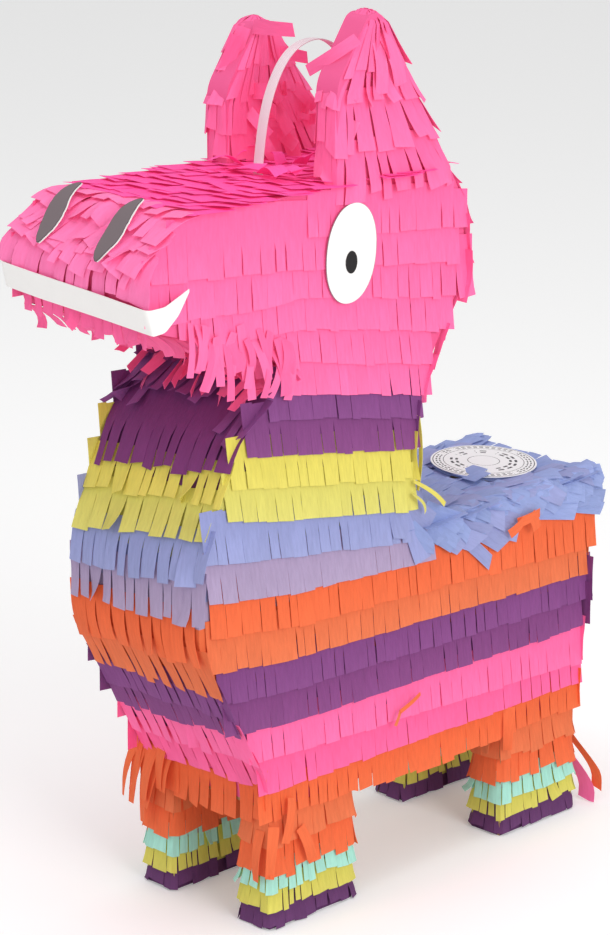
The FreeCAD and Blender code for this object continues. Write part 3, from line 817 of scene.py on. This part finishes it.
def make_saddle():
    """Rows across the back with their free ends to the rear, kept clear of the fill hole, and long
    strips that fall over both top edges, slanting back."""
    rng = np.random.default_rng(16)
    groups = []
    clear = HOLE_R + 2.0
    style = dict(swing=0.07, lift=3.4, base=0.5, curl=0.05, twist=0.06, skew=0.16, wild=0.05,
                 ragged=0.10, gap=0.8, open=0.5, slit=0.3)
    for tip in np.arange(236, 412, 17.0):
        width = 14 * (1 + 0.3 * rng.uniform(-1, 1, 16))
        centre = -62 + np.cumsum(width) - width / 2
        keep = centre < 60
        centre, width = centre[keep], width[keep]
        near = np.clip(np.abs(centre) - width / 2, 0, None)
        chord = np.sqrt(np.clip(clear**2 - near**2, 0, None))
        first, last = LABEL_S - NECK_S - chord, LABEL_S - NECK_S + chord
        stop = np.full(len(centre), tip - NECK_S)
        start = stop - 40.0
        over_hole = chord > 0
        stop = np.where(over_hole & (stop > first) & (start < first), first, stop)
        start = np.where(over_hole & (start < last) & (start >= first), last, start)
        keep = stop - start > 9
        start, stop, centre, width = start[keep], stop[keep], centre[keep], width[keep]
        place = lambda a, d, h: (a, NECK_S + d, BACK_Z + h)
        calm = dict(style, lift=style["lift"] if tip < 400 else 1.8)
        groups.append(strips(rng, place, centre, width, stop - start, SADDLE_BLUE,
                             start=np.maximum(start, 1.0), **calm))
    drape = dict(swing=0.07, lift=3.6, curl=0.12, twist=0.16, skew=0.35, gap=0.6, open=0.5, wide=12.0,
                 wild=0.10, ragged=0.06, slit=0.1, base=1.0, cup=0.5, spread=0.3, shade=0.05)
    for sign in (1, -1):
        for fold, turn, first, last, inset, reach, tint in (
            (True, (22, 12), 330, 384, 8, 50, SADDLE_BLUE),
            (True, (24, 12), 250, 376, 16, 56, SADDLE_BLUE),
            (True, (34, 16), 222, 350, 26, 62, BLUE),
            (True, (42, 22), 216, 330, 12, 50, SADDLE_BLUE),
            (False, (60, 52), 207, 218, 22, 32, BLUE),
            (False, (46, 34), 210, 228, 14, 46, SADDLE_BLUE),
            (False, (28, 18), 236, 286, -1, 42, BLUE),
            (False, (11, 6), 338, 390, -8, 50, SADDLE_BLUE),
        ):
            groups.append(fallen_row(rng, sign, first, last, np.radians(turn), inset, reach, tint,
                                     fold, **drape))
    wear_tissue(strip_piece("saddle_tissue_blue", groups), "blue", "saddle_fringe_blue")


# ---- card, print, ribbon and tail ----
def card_material(name, colour, edge_colour=None, edge_from=2.0, gloss=0.35):
    """Plain card: one colour, and a rim in edge_colour where the pattern's first place is past
    edge_from; on the eye the grey rim is a painted shadow line.
    """
    made, tree, shader = material(name, rough=0.55, gloss=gloss)
    split = node(tree, "ShaderNodeSeparateXYZ", {0: pattern_place(tree)})
    rim = calc(tree, "GREATER_THAN", split.outputs[0], edge_from)
    edge_colour = colour if edge_colour is None else edge_colour
    shown = blend(tree, rim, opaque(colour), opaque(edge_colour))
    grained(tree, shader, shown, object_place(tree), 60.0, 900.0, 0.05, 0.08)
    return made


def leaf(name, place, long, left, right, base, thick, crown=0.0, columns=13):
    """A card cut between two edges: left and right are the edges' places at each place along it,
    crowned by (1 - u^2)(1 - v^2), u across and v along from -1 to 1. The pattern place holds how
    far out a point is, and u."""
    u = np.linspace(-1, 1, columns)[None]
    v = np.linspace(-1, 1, len(long))[:, None]
    a = ((left + right) / 2)[:, None] + ((right - left) / 2)[:, None] * u
    b = np.broadcast_to(long[:, None], a.shape)
    h = base + crown * (1 - u**2) * (1 - v**2)
    top, bottom = (to_world(*place(a, b, h + up)) for up in (thick, 0.0))
    out = np.sqrt(u**2 * (1 - v**2) + v**2)
    return slab(name, top, bottom, uv=np.stack(np.broadcast_arrays(out, u), -1))


def oval(half_a, half_b, power=2.0, samples=41):
    """Heights and half widths of an oval, closer together at its ends."""
    v = np.sin(np.linspace(-0.497, 0.497, samples) * np.pi)
    return half_b * v, half_a * (1 - np.abs(v) ** power) ** (1 / power)


def make_eyes():
    # The eye card's grey rim is a painted shadow line round its edge.
    white = card_material("eye_card", CARD_WHITE, srgb(150, 140, 144), 0.985)
    black = card_material("pupil_card", INK_BLACK, srgb(70, 64, 66), 0.97)
    for sign, side in ((1, "left"), (-1, "right")):
        place = lambda a, b, h: (sign * (HALF + h), EYE_S + a, EYE_Z + b)
        heights, half = oval(21.8, 30.8, 2.15)
        lean = 0.07 * heights
        eye = leaf("eye_card_" + side, place, heights, lean - half, lean + half, 3.3, 0.5, crown=0.7)
        wear(eye, white, "card_white", "root", "eye_" + side)
        heights, half = oval(5.0, 7.0)
        low = lambda a, b, h: (sign * (HALF + h), EYE_S - 1.0 + a, EYE_Z - 5.2 + b)
        pupil = leaf("pupil_card_" + side, low, heights, -half, half, 4.3, 0.5)
        wear(pupil, black, "card_black", "root", "pupil_" + side)


def make_nostrils():
    """Two leaf-shaped cards laid down the bridge, uneven along their cut edges."""
    rng = np.random.default_rng(18)
    grey = card_material("nostril_card", CARD_GREY, srgb(88, 78, 82), 0.985, gloss=0.2)
    pale = card_material("nostril_back", CARD_WHITE)
    for side, top, foot in (("left", (23.0, 234.0), (24.0, 278.5)),
                            ("right", (-37.5, 229.5), (-29.0, 276.0))):
        t = np.linspace(0.003, 0.997, 33)
        half = 7.2 * np.sin(np.pi * t) ** 0.55 * (1 - 0.14 * np.cos(np.pi * t))
        waver = lambda: 0.35 * np.convolve(rng.normal(size=41), np.ones(9) / 3, "valid")
        left, right = -half - waver() * half / 6, half + waver() * half / 6
        middle = top[0] + (foot[0] - top[0]) * t
        middle = middle + 1.8 * np.sin(np.pi * t) - 0.8 * np.sin(2 * np.pi * t)
        sigma = top[1] + (foot[1] - top[1]) * t
        def place(a, d, h):
            s, z = FACE.at(d, h)
            return a, s, z
        left, right = middle + left, middle + right
        front = leaf("nostril_card_" + side, place, sigma, left, right, 6.4, 0.4)
        wear(front, grey, "card_grey", "root", "nostril_" + side)
        back = leaf("nostril_back_" + side, place, sigma, left + 0.2, right + 0.9, 5.9, 0.4)
        wear(back, pale, "card_white", "root")


def make_mouth():
    """A white band folded round the muzzle. A key holds x, station, top, bottom and whether it is on
    the sloping front; the band runs smoothly through the keys."""
    keys = np.array([
        (63.6, 25, 425.8, 424.0, 0), (64.0, 16, 422.4, 411.5, 0), (64.4, 5, 418.2, 403.0, 0),
        (64.6, -3, 418.0, 402.4, 0.6), (61, -6, 418.2, 402.6, 1), (30, -6, 421.0, 405.0, 1),
        (-30, -6, 426.0, 409.5, 1), (-61, -6, 428.8, 412.4, 1), (-64.6, -3, 429.2, 413.0, 0.6),
        (-64.4, 5, 427.6, 413.0, 0), (-64.0, 16, 428.0, 417.0, 0), (-63.6, 29, 432.0, 430.8, 0),
    ], float)
    run = np.concatenate([[0], np.cumsum(np.hypot(*np.diff(keys[:, :2], axis=0).T))])
    even = np.arange(0, run[-1], 0.8)
    soft = np.hanning(9) / np.hanning(9).sum()
    x, s, high, low, front = (
        np.convolve(np.pad(np.interp(even, run, column), 4, mode="reflect", reflect_type="odd"), soft,
                    "valid") for column in keys.T)
    tangent = np.stack([np.gradient(x), np.gradient(s)], -1)
    tangent /= np.linalg.norm(tangent, axis=1, keepdims=True)
    share = np.linspace(0, 1, 7)[None]
    z = high[:, None] + (low - high)[:, None] * share
    sloped = -11.4 + 0.29 * (430 - z)
    deep = s[:, None] * (1 - front)[:, None] + sloped * front[:, None]
    wave = 0.25 * np.sin(even / 17)[:, None]
    def out(h):
        h = h + wave
        return to_world(x[:, None] - tangent[:, 1:] * h, deep + tangent[:, :1] * h, z)
    band = slab("mouth_band_card", out(0.5), out(0.0), np.zeros(z.shape + (2,)))
    wear(band, card_material("mouth_card", CARD_WHITE), "card_white", "root", "mouth_band")


def label_material():
    """White printed paper: thin rings, and two rings of small plain dashes in place of print."""
    made, tree, shader = material("label_print", rough=0.5, gloss=0.4)
    do = lambda kind, *inputs: calc(tree, kind, *inputs)
    split = node(tree, "ShaderNodeSeparateXYZ", {0: pattern_place(tree)})
    x, y = split.outputs[0], split.outputs[1]
    radius = do("SQRT", do("ADD", do("MULTIPLY", x, x), do("MULTIPLY", y, y)))
    angle = do("ARCTAN2", y, x)
    marks = [do("COMPARE", radius, middle, half)
             for middle, half in ((0.955, 0.008), (0.76, 0.006), (0.30, 0.006))]
    for middle, half, count, seed in ((0.86, 0.045, 46, 3.1), (0.56, 0.075, 17, 7.7)):
        turn = do("MULTIPLY", angle, float(count))
        dash = do("GREATER_THAN", do("SINE", turn), -0.35)
        step = do("ADD", do("FLOOR", do("MULTIPLY", turn, 0.159155)), seed)
        patch = node(tree, "ShaderNodeTexNoise", {"W": step, "Scale": 1.0, "Detail": 0.0},
                     noise_dimensions="1D")
        word = do("GREATER_THAN", patch.outputs["Fac"], 0.42)
        band = do("COMPARE", radius, middle, half)
        hollow = do("SUBTRACT", 1.0, do("COMPARE", radius, middle, half * 0.35))
        marks.append(do("MULTIPLY", do("MULTIPLY", dash, word), do("MULTIPLY", band, hollow)))
    ink = marks[0]
    for mark in marks[1:]:
        ink = do("MAXIMUM", ink, mark)
    shown = blend(tree, ink, opaque(srgb(246, 246, 248)), opaque(srgb(62, 58, 66)))
    grained(tree, shader, shown, object_place(tree), 60.0, 900.0, 0.03, 0.05)
    return made


def make_flap():
    """The label lies tilted on two crumpled rounds of tissue that cover the flap."""
    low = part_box("fill_label")[0].z / M
    def tilted(a, b, h):
        far = np.clip(0.5 - a / (2 * LABEL_R), 0, 1)
        return a, LABEL_S + b, low + h + 2.0 + 3.2 * far
    heights, half = oval(LABEL_R, LABEL_R, samples=81)
    label = leaf("label_paper", tilted, heights, -half, half, 0.9, 0.35, crown=0.4, columns=25)
    layer = label.data.uv_layers["pattern"]
    corner = np.empty(len(label.data.loops), np.int32)
    label.data.loops.foreach_get("vertex_index", corner)
    spot = np.empty(len(label.data.vertices) * 3)
    label.data.vertices.foreach_get("co", spot)
    spot = spot.reshape(-1, 3)[:, :2] / (LABEL_R * M) - np.array([0, (LABEL_S - MIDDLE) / LABEL_R])
    layer.data.foreach_set("uv", spot[corner].astype(np.float32).ravel())
    wear(label, label_material(), "label_white", "fill_flap", "fill_label")

    rng = np.random.default_rng(19)
    for index, (lift, radius) in enumerate(((0.1, 35.0), (1.0, 33.5))):
        angle = np.linspace(0, 2 * np.pi, 97)[None]
        share = np.linspace(0.02, 1, 15)[:, None]
        waver = sum(rng.uniform(0.2, 0.5) * np.sin(n * angle + rng.uniform(0, 6)) for n in (5, 8, 13))
        a, b = (radius * share + waver * share**3) * np.stack([np.cos(angle), np.sin(angle)])
        ruffle = 0.5 + 0.35 * waver * share**2
        surface = lambda up: to_world(*tilted(a, b, lift - 1.9 + ruffle + up))
        uv = np.stack(np.broadcast_arrays(a, b), -1) * 0.1
        piece = slab("flap_round_%d" % index, surface(0.25), surface(0.0), uv, SADDLE_BLUE)
        wear_tissue(piece, "blue", *("flap_tissue",)[index:], body="fill_flap")

    corner = []
    look = dict(lift=1.6, slit=0.1, curl=0.03, base=0.3, swing=0.01, ragged=0.0, skew=0.0)
    for x, tip, reach, wide in ((10.5, LABEL_S - 15, 21, 14.0), (21, LABEL_S - 22, 17, 12.0)):
        place = lambda a, d, h: (x + a, tip - reach + d, low + 3.4 + h)
        corner.append(strips(rng, place, np.zeros(1), np.array([wide]), reach, SADDLE_BLUE, **look))
    wear_tissue(strip_piece("flap_corner_tissue", corner), "blue", body="fill_flap")


def make_ribbon():
    """The woven ribbon: a flat section eight wide, carried along the loop's own smooth line."""
    route = [(143, 474.3), (146, 500), (156, 526), (170, 543), (190, 549), (209, 543), (223, 526),
             (233, 500), (236, 474.3)]
    line = bpy.data.curves.new("ribbon_line", "CURVE")
    line.dimensions = "3D"
    line.resolution_u = 14
    spline = line.splines.new("NURBS")
    spline.points.add(len(route) - 1)
    for point, (s, z) in zip(spline.points, route):
        point.co = (0.0, (s - MIDDLE) * M, z * M, 1.0)
    spline.order_u = 3
    spline.use_endpoint_u = True
    holder = bpy.data.objects.new("ribbon_line", line)
    bpy.context.scene.collection.objects.link(holder)
    read = bpy.data.meshes.new_from_object(holder)
    path = np.array([vertex.co[:] for vertex in read.vertices])
    bpy.data.meshes.remove(read)
    bpy.data.objects.remove(holder)
    run = np.concatenate([[0], np.cumsum(np.linalg.norm(np.diff(path, axis=0), axis=1))])
    tangent = np.gradient(path, axis=0)
    tangent /= np.linalg.norm(tangent, axis=1, keepdims=True)
    u, half_wide = np.linspace(-1, 1, 9), 0.004
    normal = np.stack([0 * run, -tangent[:, 2], tangent[:, 1]], -1)
    across = np.array([half_wide, 0, 0]) * u[None, :, None]
    cup = (0.0003 * u**2)[None, :, None] * normal[:, None, :]
    sheet = path[:, None, :] + across - cup
    rise = 0.00022 * normal[:, None, :]
    uv = np.stack(np.broadcast_arrays(run[:, None], half_wide * u[None]), -1) * 1000
    piece = slab("ribbon_woven", sheet + rise, sheet - rise, uv)
    made, tree, shader = material("ribbon_weave", rough=0.6, gloss=0.35)
    weave = node(tree, "ShaderNodeTexBrick", {
        "Vector": pattern_place(tree), "Scale": 1.0, "Mortar Size": 0.14, "Brick Width": 1.1,
        "Row Height": 0.8, "Color1": opaque(srgb(252, 240, 244)),
        "Color2": opaque(srgb(248, 232, 238)), "Mortar": opaque(srgb(222, 188, 200))})
    relief = node(tree, "ShaderNodeBump", {
        "Strength": 0.3, "Distance": 0.0003, "Height": weave.outputs["Fac"]})
    feed(tree, shader, {"Base Color": weave.outputs["Color"], "Normal": relief.outputs["Normal"],
                        "Sheen Weight": 0.3})
    wear(piece, made, "ribbon_white", "ribbon", "ribbon_loop")
    return made


def make_tail():
    """Two short streamers of tissue that hang from the rump and lean to the left side."""
    rng = np.random.default_rng(20)
    for colour, tint, root, foot, wide in (
        ("pink", PINK, (20, 404.5, 158), (58.5, 402.5, 1.5), 14.0),
        ("orange", ORANGE, (26, 406.0, 156), (63, 410.5, 9), 11.0),
    ):
        t = np.linspace(0, 1, 40)[:, None]
        u = np.linspace(-0.5, 0.5, 7)[None]
        fall = np.clip((t - 0.68) / 0.28, 0, 1)
        x = root[0] + (foot[0] - root[0]) * fall * fall * (3 - 2 * fall) + wide * u
        s = root[1] + (foot[1] - root[1]) * t + 1.3 * np.sin(9 * t + rng.uniform(0, 3)) * t
        s = s + 0.8 * u * t
        z = np.maximum(root[2] + (foot[2] - root[2]) * t - 3 * u * t, 1.0)
        uv = np.stack(np.broadcast_arrays(wide * u, 155 * t), -1) * 0.1
        piece = slab("tail_tissue_" + colour, to_world(x, s + 0.25, z), to_world(x, s, z), uv, tint)
        wear_tissue(piece, colour, "tail_streamer_" + colour, body="tail")


# ---- single loose strips ----
def streamer(start, end, wide, face, bend, tint):
    """One loose strip: its line runs from start to end (x, station, height), bowed along face by
    bend in a half sine; it is wide across face and line, and twists a quarter radian."""
    start, end, face = (np.array(v, float) for v in (start, end, face))
    t = np.linspace(0, 1, STATIONS)[:, None]
    line = start + (end - start) * t + bend * np.sin(np.pi * t) * face
    along = (end - start) / np.linalg.norm(end - start)
    across = np.cross(face, along)
    across /= np.linalg.norm(across)
    normal = np.cross(along, across)
    turn = 0.5 * (t - 0.3)[..., None]
    side = np.cos(turn) * across + np.sin(turn) * normal
    up = np.cos(turn) * normal - np.sin(turn) * across
    section = line[:, None] + wide * ACROSS[None, :, None] * side + THICK * LAYER[None, :, None] * up
    x, s, z = np.moveaxis(section, -1, 0)[:, None]
    colour = np.broadcast_to(tint, x.shape + (3,))
    long = np.linalg.norm(end - start)
    uv = np.stack(np.broadcast_arrays(wide * ACROSS, long * t), -1)[None] * 0.1
    return to_world(x, s, z), colour, uv


def make_loose():
    """Loose strips that stand off the ears, crown, jaw, throat, neck, saddle and legs."""
    seen = (0.70, -0.70, 0.1)
    rows = [
        ((62, 166, 556), (24, 162, 533), 7.5, seen, 5, PINK),
        ((60, 164, 520), (41, 158, 492), 6.5, seen, -3, PINK),
        ((58, 168, 506), (48, 158, 468), 7.0, seen, 3, PINK),
        ((56, 190, 560), (62, 204, 524), 9.0, (1, 0, 0), 4, PINK),
        ((57, 186, 556), (61, 188, 520), 9.0, (1, 0, 0), 3, PINK),
        ((-40, 178, 552), (-6, 180, 553), 9.0, seen, 4, PINK_DEEP),
        ((-40, 198, 534), (-14, 200, 533), 8.0, seen, -3, PINK_DEEP),
        ((-42, 172, 552), (-56, 166, 510), 9.0, seen, 4, PINK_DEEP),
        ((-40, 164, 548), (-54, 156, 500), 9.0, seen, -4, PINK_DEEP),
    ]
    rng = np.random.default_rng(21)
    for s, z in zip(np.linspace(172, 216, 12), 500 + 14 * np.sin(np.arange(12) * 2.1)):
        out = rng.uniform(10, 20) - 0.3 * (z - 490)
        rows.append(((-38.5, s, z), (-38.5 + out, s + rng.uniform(-4, 10), z - rng.uniform(-4, 22)),
                     rng.uniform(7, 10), seen, rng.uniform(-9, 9), PINK_DEEP if z > 500 else PINK))
    for x, s in zip(np.linspace(-42, 30, 10), 160 + 26 * np.sin(np.arange(10) * 1.7)):
        rows.append(((x, s, 470), (x + rng.uniform(-12, 30), s + rng.uniform(-34, 14),
                                   474 + rng.uniform(0, 5)),
                     rng.uniform(7, 10), (0, 0, 1), rng.uniform(1.5, 5), PINK_CROWN_SHADED))
    for s in np.linspace(30, 113, 28):
        top = 401 - 0.28 * (s - 32) + rng.uniform(-6, 6)
        rows.append(((rng.uniform(57, 61.5), s, top),
                     (63 + rng.uniform(-3, 3), s + rng.uniform(-12, 7), top - rng.uniform(16, 36)),
                     rng.uniform(4.5, 8), (1, 0, 0), rng.uniform(-2, 5),
                     PINK if rng.random() < 0.6 else PINK_DEEP))
    for x in np.linspace(-54, 56, 18):
        rows.append(((x, 108, 364), (x + rng.uniform(-8, 12), 84 + rng.uniform(-12, 10),
                                     340 + rng.uniform(-10, 12)),
                     rng.uniform(5, 8), (0, -1, -0.4), rng.uniform(-3, 6), PINK_DEEP))
    yellow = [((62, 219, 270), (66, 245, 250), 3.4, (0.7, 0.7, 0), 3, YELLOW),
              ((62, 218, 262), (64, 228, 248), 3.2, (0.7, 0.7, 0), 3, YELLOW_GREEN),
              ((60, 224, 312), (59, 226, 262), 3.5, (0, 1, 0), 3, YELLOW)]
    orange = [((65, 317, 222), (66.6, 338, 225), 7.0, (1, 0, 0), 2.5, ORANGE),
              ((65.5, 330, 226), (66.4, 336, 214), 8.0, (1, 0, 0), 2, ORANGE),
              ((65, 309, 216), (66.4, 322, 223), 7.0, (1, 0, 0), 2, ORANGE),
              ((64, 225, 126.5), (66, 205, 119.5), 3.0, (1, 0, 0), 1.0, ORANGE),
              ((64.5, 206, 120), (66, 200.5, 111), 2.6, (1, 0, 0), 0.6, ORANGE_BROWN),
              ((54, 94, 116), (56, 90, 82), 7.0, (0.3, -0.9, 0.1), 3, ORANGE),
              ((61, 110, 86), (66, 101, 59), 7.0, (1, 0, 0), 2, ORANGE),
              ((60, 96, 70), (64, 89, 38), 7.0, (0.7, -0.7, 0), 2, ORANGE),
              ((51, 93, 66), (53, 87, 34), 7.5, (0, -1, 0), 2, ORANGE),
              ((61, 118, 64), (66, 125, 42), 8.0, (1, 0, 0), 2, ORANGE),
              ((60, 317, 92), (65, 312, 64), 8.0, (0.7, -0.7, 0), 2, ORANGE),
              ((50, 312, 90), (50, 305, 60), 8.0, (0, -1, 0), 2, ORANGE_BROWN),
              ((38, 312, 90), (35, 305, 66), 8.0, (0, -1, 0), 2, ORANGE)]
    rng = np.random.default_rng(22)
    for x in np.linspace(-63, -33, 9):
        orange.append(((x, 94, 102 + rng.uniform(-8, 6)),
                       (x + rng.uniform(-5, 4), 84 + rng.uniform(-3, 4), 60 + rng.uniform(-20, 12)),
                       rng.uniform(6.5, 9), (0, -1, 0), rng.uniform(1, 4), ORANGE))
    for colour, loose in (("pink", rows), ("yellow", yellow), ("orange", orange)):
        piece = strip_piece("loose_tissue_" + colour, [streamer(*strip) for strip in loose])
        wear_tissue(piece, colour)


# ---- board ----
def board_material(name, printed):
    """Brown corrugated board. A printed one is pasted over outside with tissue in the rows' own
    colours, picked by height; its outside is where its faces point away from the middle."""
    made, tree, shader = material(name, rough=0.85, gloss=0.2)
    spot = object_place(tree)
    flute = node(tree, "ShaderNodeTexWave", {
        "Vector": spot, "Scale": 90.0, "Distortion": 0.6, "Detail": 1.0})
    colour = blend(tree, flute.outputs["Fac"], opaque(KRAFT * 0.9), opaque(KRAFT))
    if printed:
        split = node(tree, "ShaderNodeSeparateXYZ", {0: spot})
        height = node(tree, "ShaderNodeMapRange", {"Value": split.outputs[2], "From Max": 0.6})
        bands = node(tree, "ShaderNodeValToRGB", {"Fac": height.outputs[0]})
        ramp = bands.color_ramp
        ramp.interpolation = "CONSTANT"
        steps = ((0, PLUM), (9, OLIVE), (20, MINT), (31, ORANGE_BROWN), (78, PINK_DEEP), (116, PURPLE),
                 (152, ORANGE), (212, LAVENDER), (228, BLUE), (252, YELLOW_GREEN), (292, PURPLE),
                 (346, PINK_DEEP))
        while len(ramp.elements) < len(steps):
            ramp.elements.new(0.5)
        for element, (z, tint) in zip(ramp.elements, steps):
            element.position = z / 600
            element.color = opaque(tint * 0.92)
        flat = node(tree, "ShaderNodeVectorMath", {0: spot, 1: (1, 1, 0)}, operation="MULTIPLY")
        facing = node(tree, "ShaderNodeNewGeometry").outputs["Normal"]
        away = node(tree, "ShaderNodeVectorMath", {0: flat.outputs[0], 1: facing},
                    operation="DOT_PRODUCT")
        least = -0.002 if printed == "outside" else -1.0
        outside = calc(tree, "GREATER_THAN", away.outputs["Value"], least)
        colour = blend(tree, outside, colour, bands.outputs["Color"])
    grained(tree, shader, colour, spot, 40.0, 700.0, 0.10, 0.2)
    return made


def cover_board(weave):
    """Finishes for every skin that still shows."""
    outside = board_material("board_outside", "outside")
    wrapped = board_material("board_wrapped", "all")
    plain = board_material("board_plain", None)
    shown = ("side_panel", "chest", "throat", "chin", "muzzle", "crown", "nape", "back_panel", "rump")
    for name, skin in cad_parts.items():
        if name.startswith("ribbon"):
            finish = weave
        elif name.startswith(("leg_channel", "ear_shell", "tail_tab")):
            finish = wrapped
        else:
            finish = outside if name.startswith(shown) else plain
        if skin.data.materials:
            skin.data.materials[0] = finish
        else:
            skin.data.materials.append(finish)


make_head()
make_neck()
make_trunk()
make_legs()
make_ears()
make_saddle()
make_eyes()
make_nostrils()
make_mouth()
make_flap()
RIBBON_WEAVE = make_ribbon()
make_tail()
make_loose()
cover_board(RIBBON_WEAVE)


# ---- lights and floor ----
def make_studio():
    """White surroundings that light the object less than they show, three soft lamps, a floor."""
    world = bpy.data.worlds.new("studio")
    world.use_nodes = True
    tree = world.node_tree
    around, white = tree.nodes["Background"], (1, 1, 1, 1)
    feed(tree, around, {"Color": white, "Strength": 0.58})
    seen = node(tree, "ShaderNodeBackground", {"Color": white, "Strength": 0.97})
    by_camera = node(tree, "ShaderNodeLightPath").outputs["Is Camera Ray"]
    either = node(tree, "ShaderNodeMixShader", {
        0: by_camera, 1: around.outputs[0], 2: seen.outputs[0]})
    feed(tree, tree.nodes["World Output"], {"Surface": either.outputs[0]})
    bpy.context.scene.world = world
    bpy.context.scene.view_settings.view_transform = "Standard"
    for name, place, size, power in (
        ("key", (2.6, -0.5, 1.4), 1.4, 34.0),
        ("front", (-0.3, -2.6, 1.3), 1.8, 8.0),
        ("top", (0.2, -0.3, 2.8), 1.6, 17.0),
    ):
        lamp = bpy.data.lights.new(name, "AREA")
        lamp.size = size
        lamp.energy = power
        light = bpy.data.objects.new(name, lamp)
        light.location = place
        aim = Vector(place) - Vector((0, 0, 0.28))
        light.rotation_euler = aim.to_track_quat("Z", "Y").to_euler()
        bpy.context.scene.collection.objects.link(light)
    side = 6.0
    corners = np.array([[-side, -side, 0], [side, -side, 0], [side, side, 0], [-side, side, 0]])
    floor = new_mesh("floor", corners, np.array([[0, 1, 2, 3]]))
    made, tree, shader = material("floor_paint", rough=0.9)
    by_camera = node(tree, "ShaderNodeLightPath").outputs["Is Camera Ray"]
    feed(tree, shader, {"Base Color": (0.93, 0.93, 0.93, 1), "Emission Color": white,
                        "Emission Strength": calc(tree, "MULTIPLY", by_camera, 0.2)})
    floor.data.materials.append(made)


make_studio()
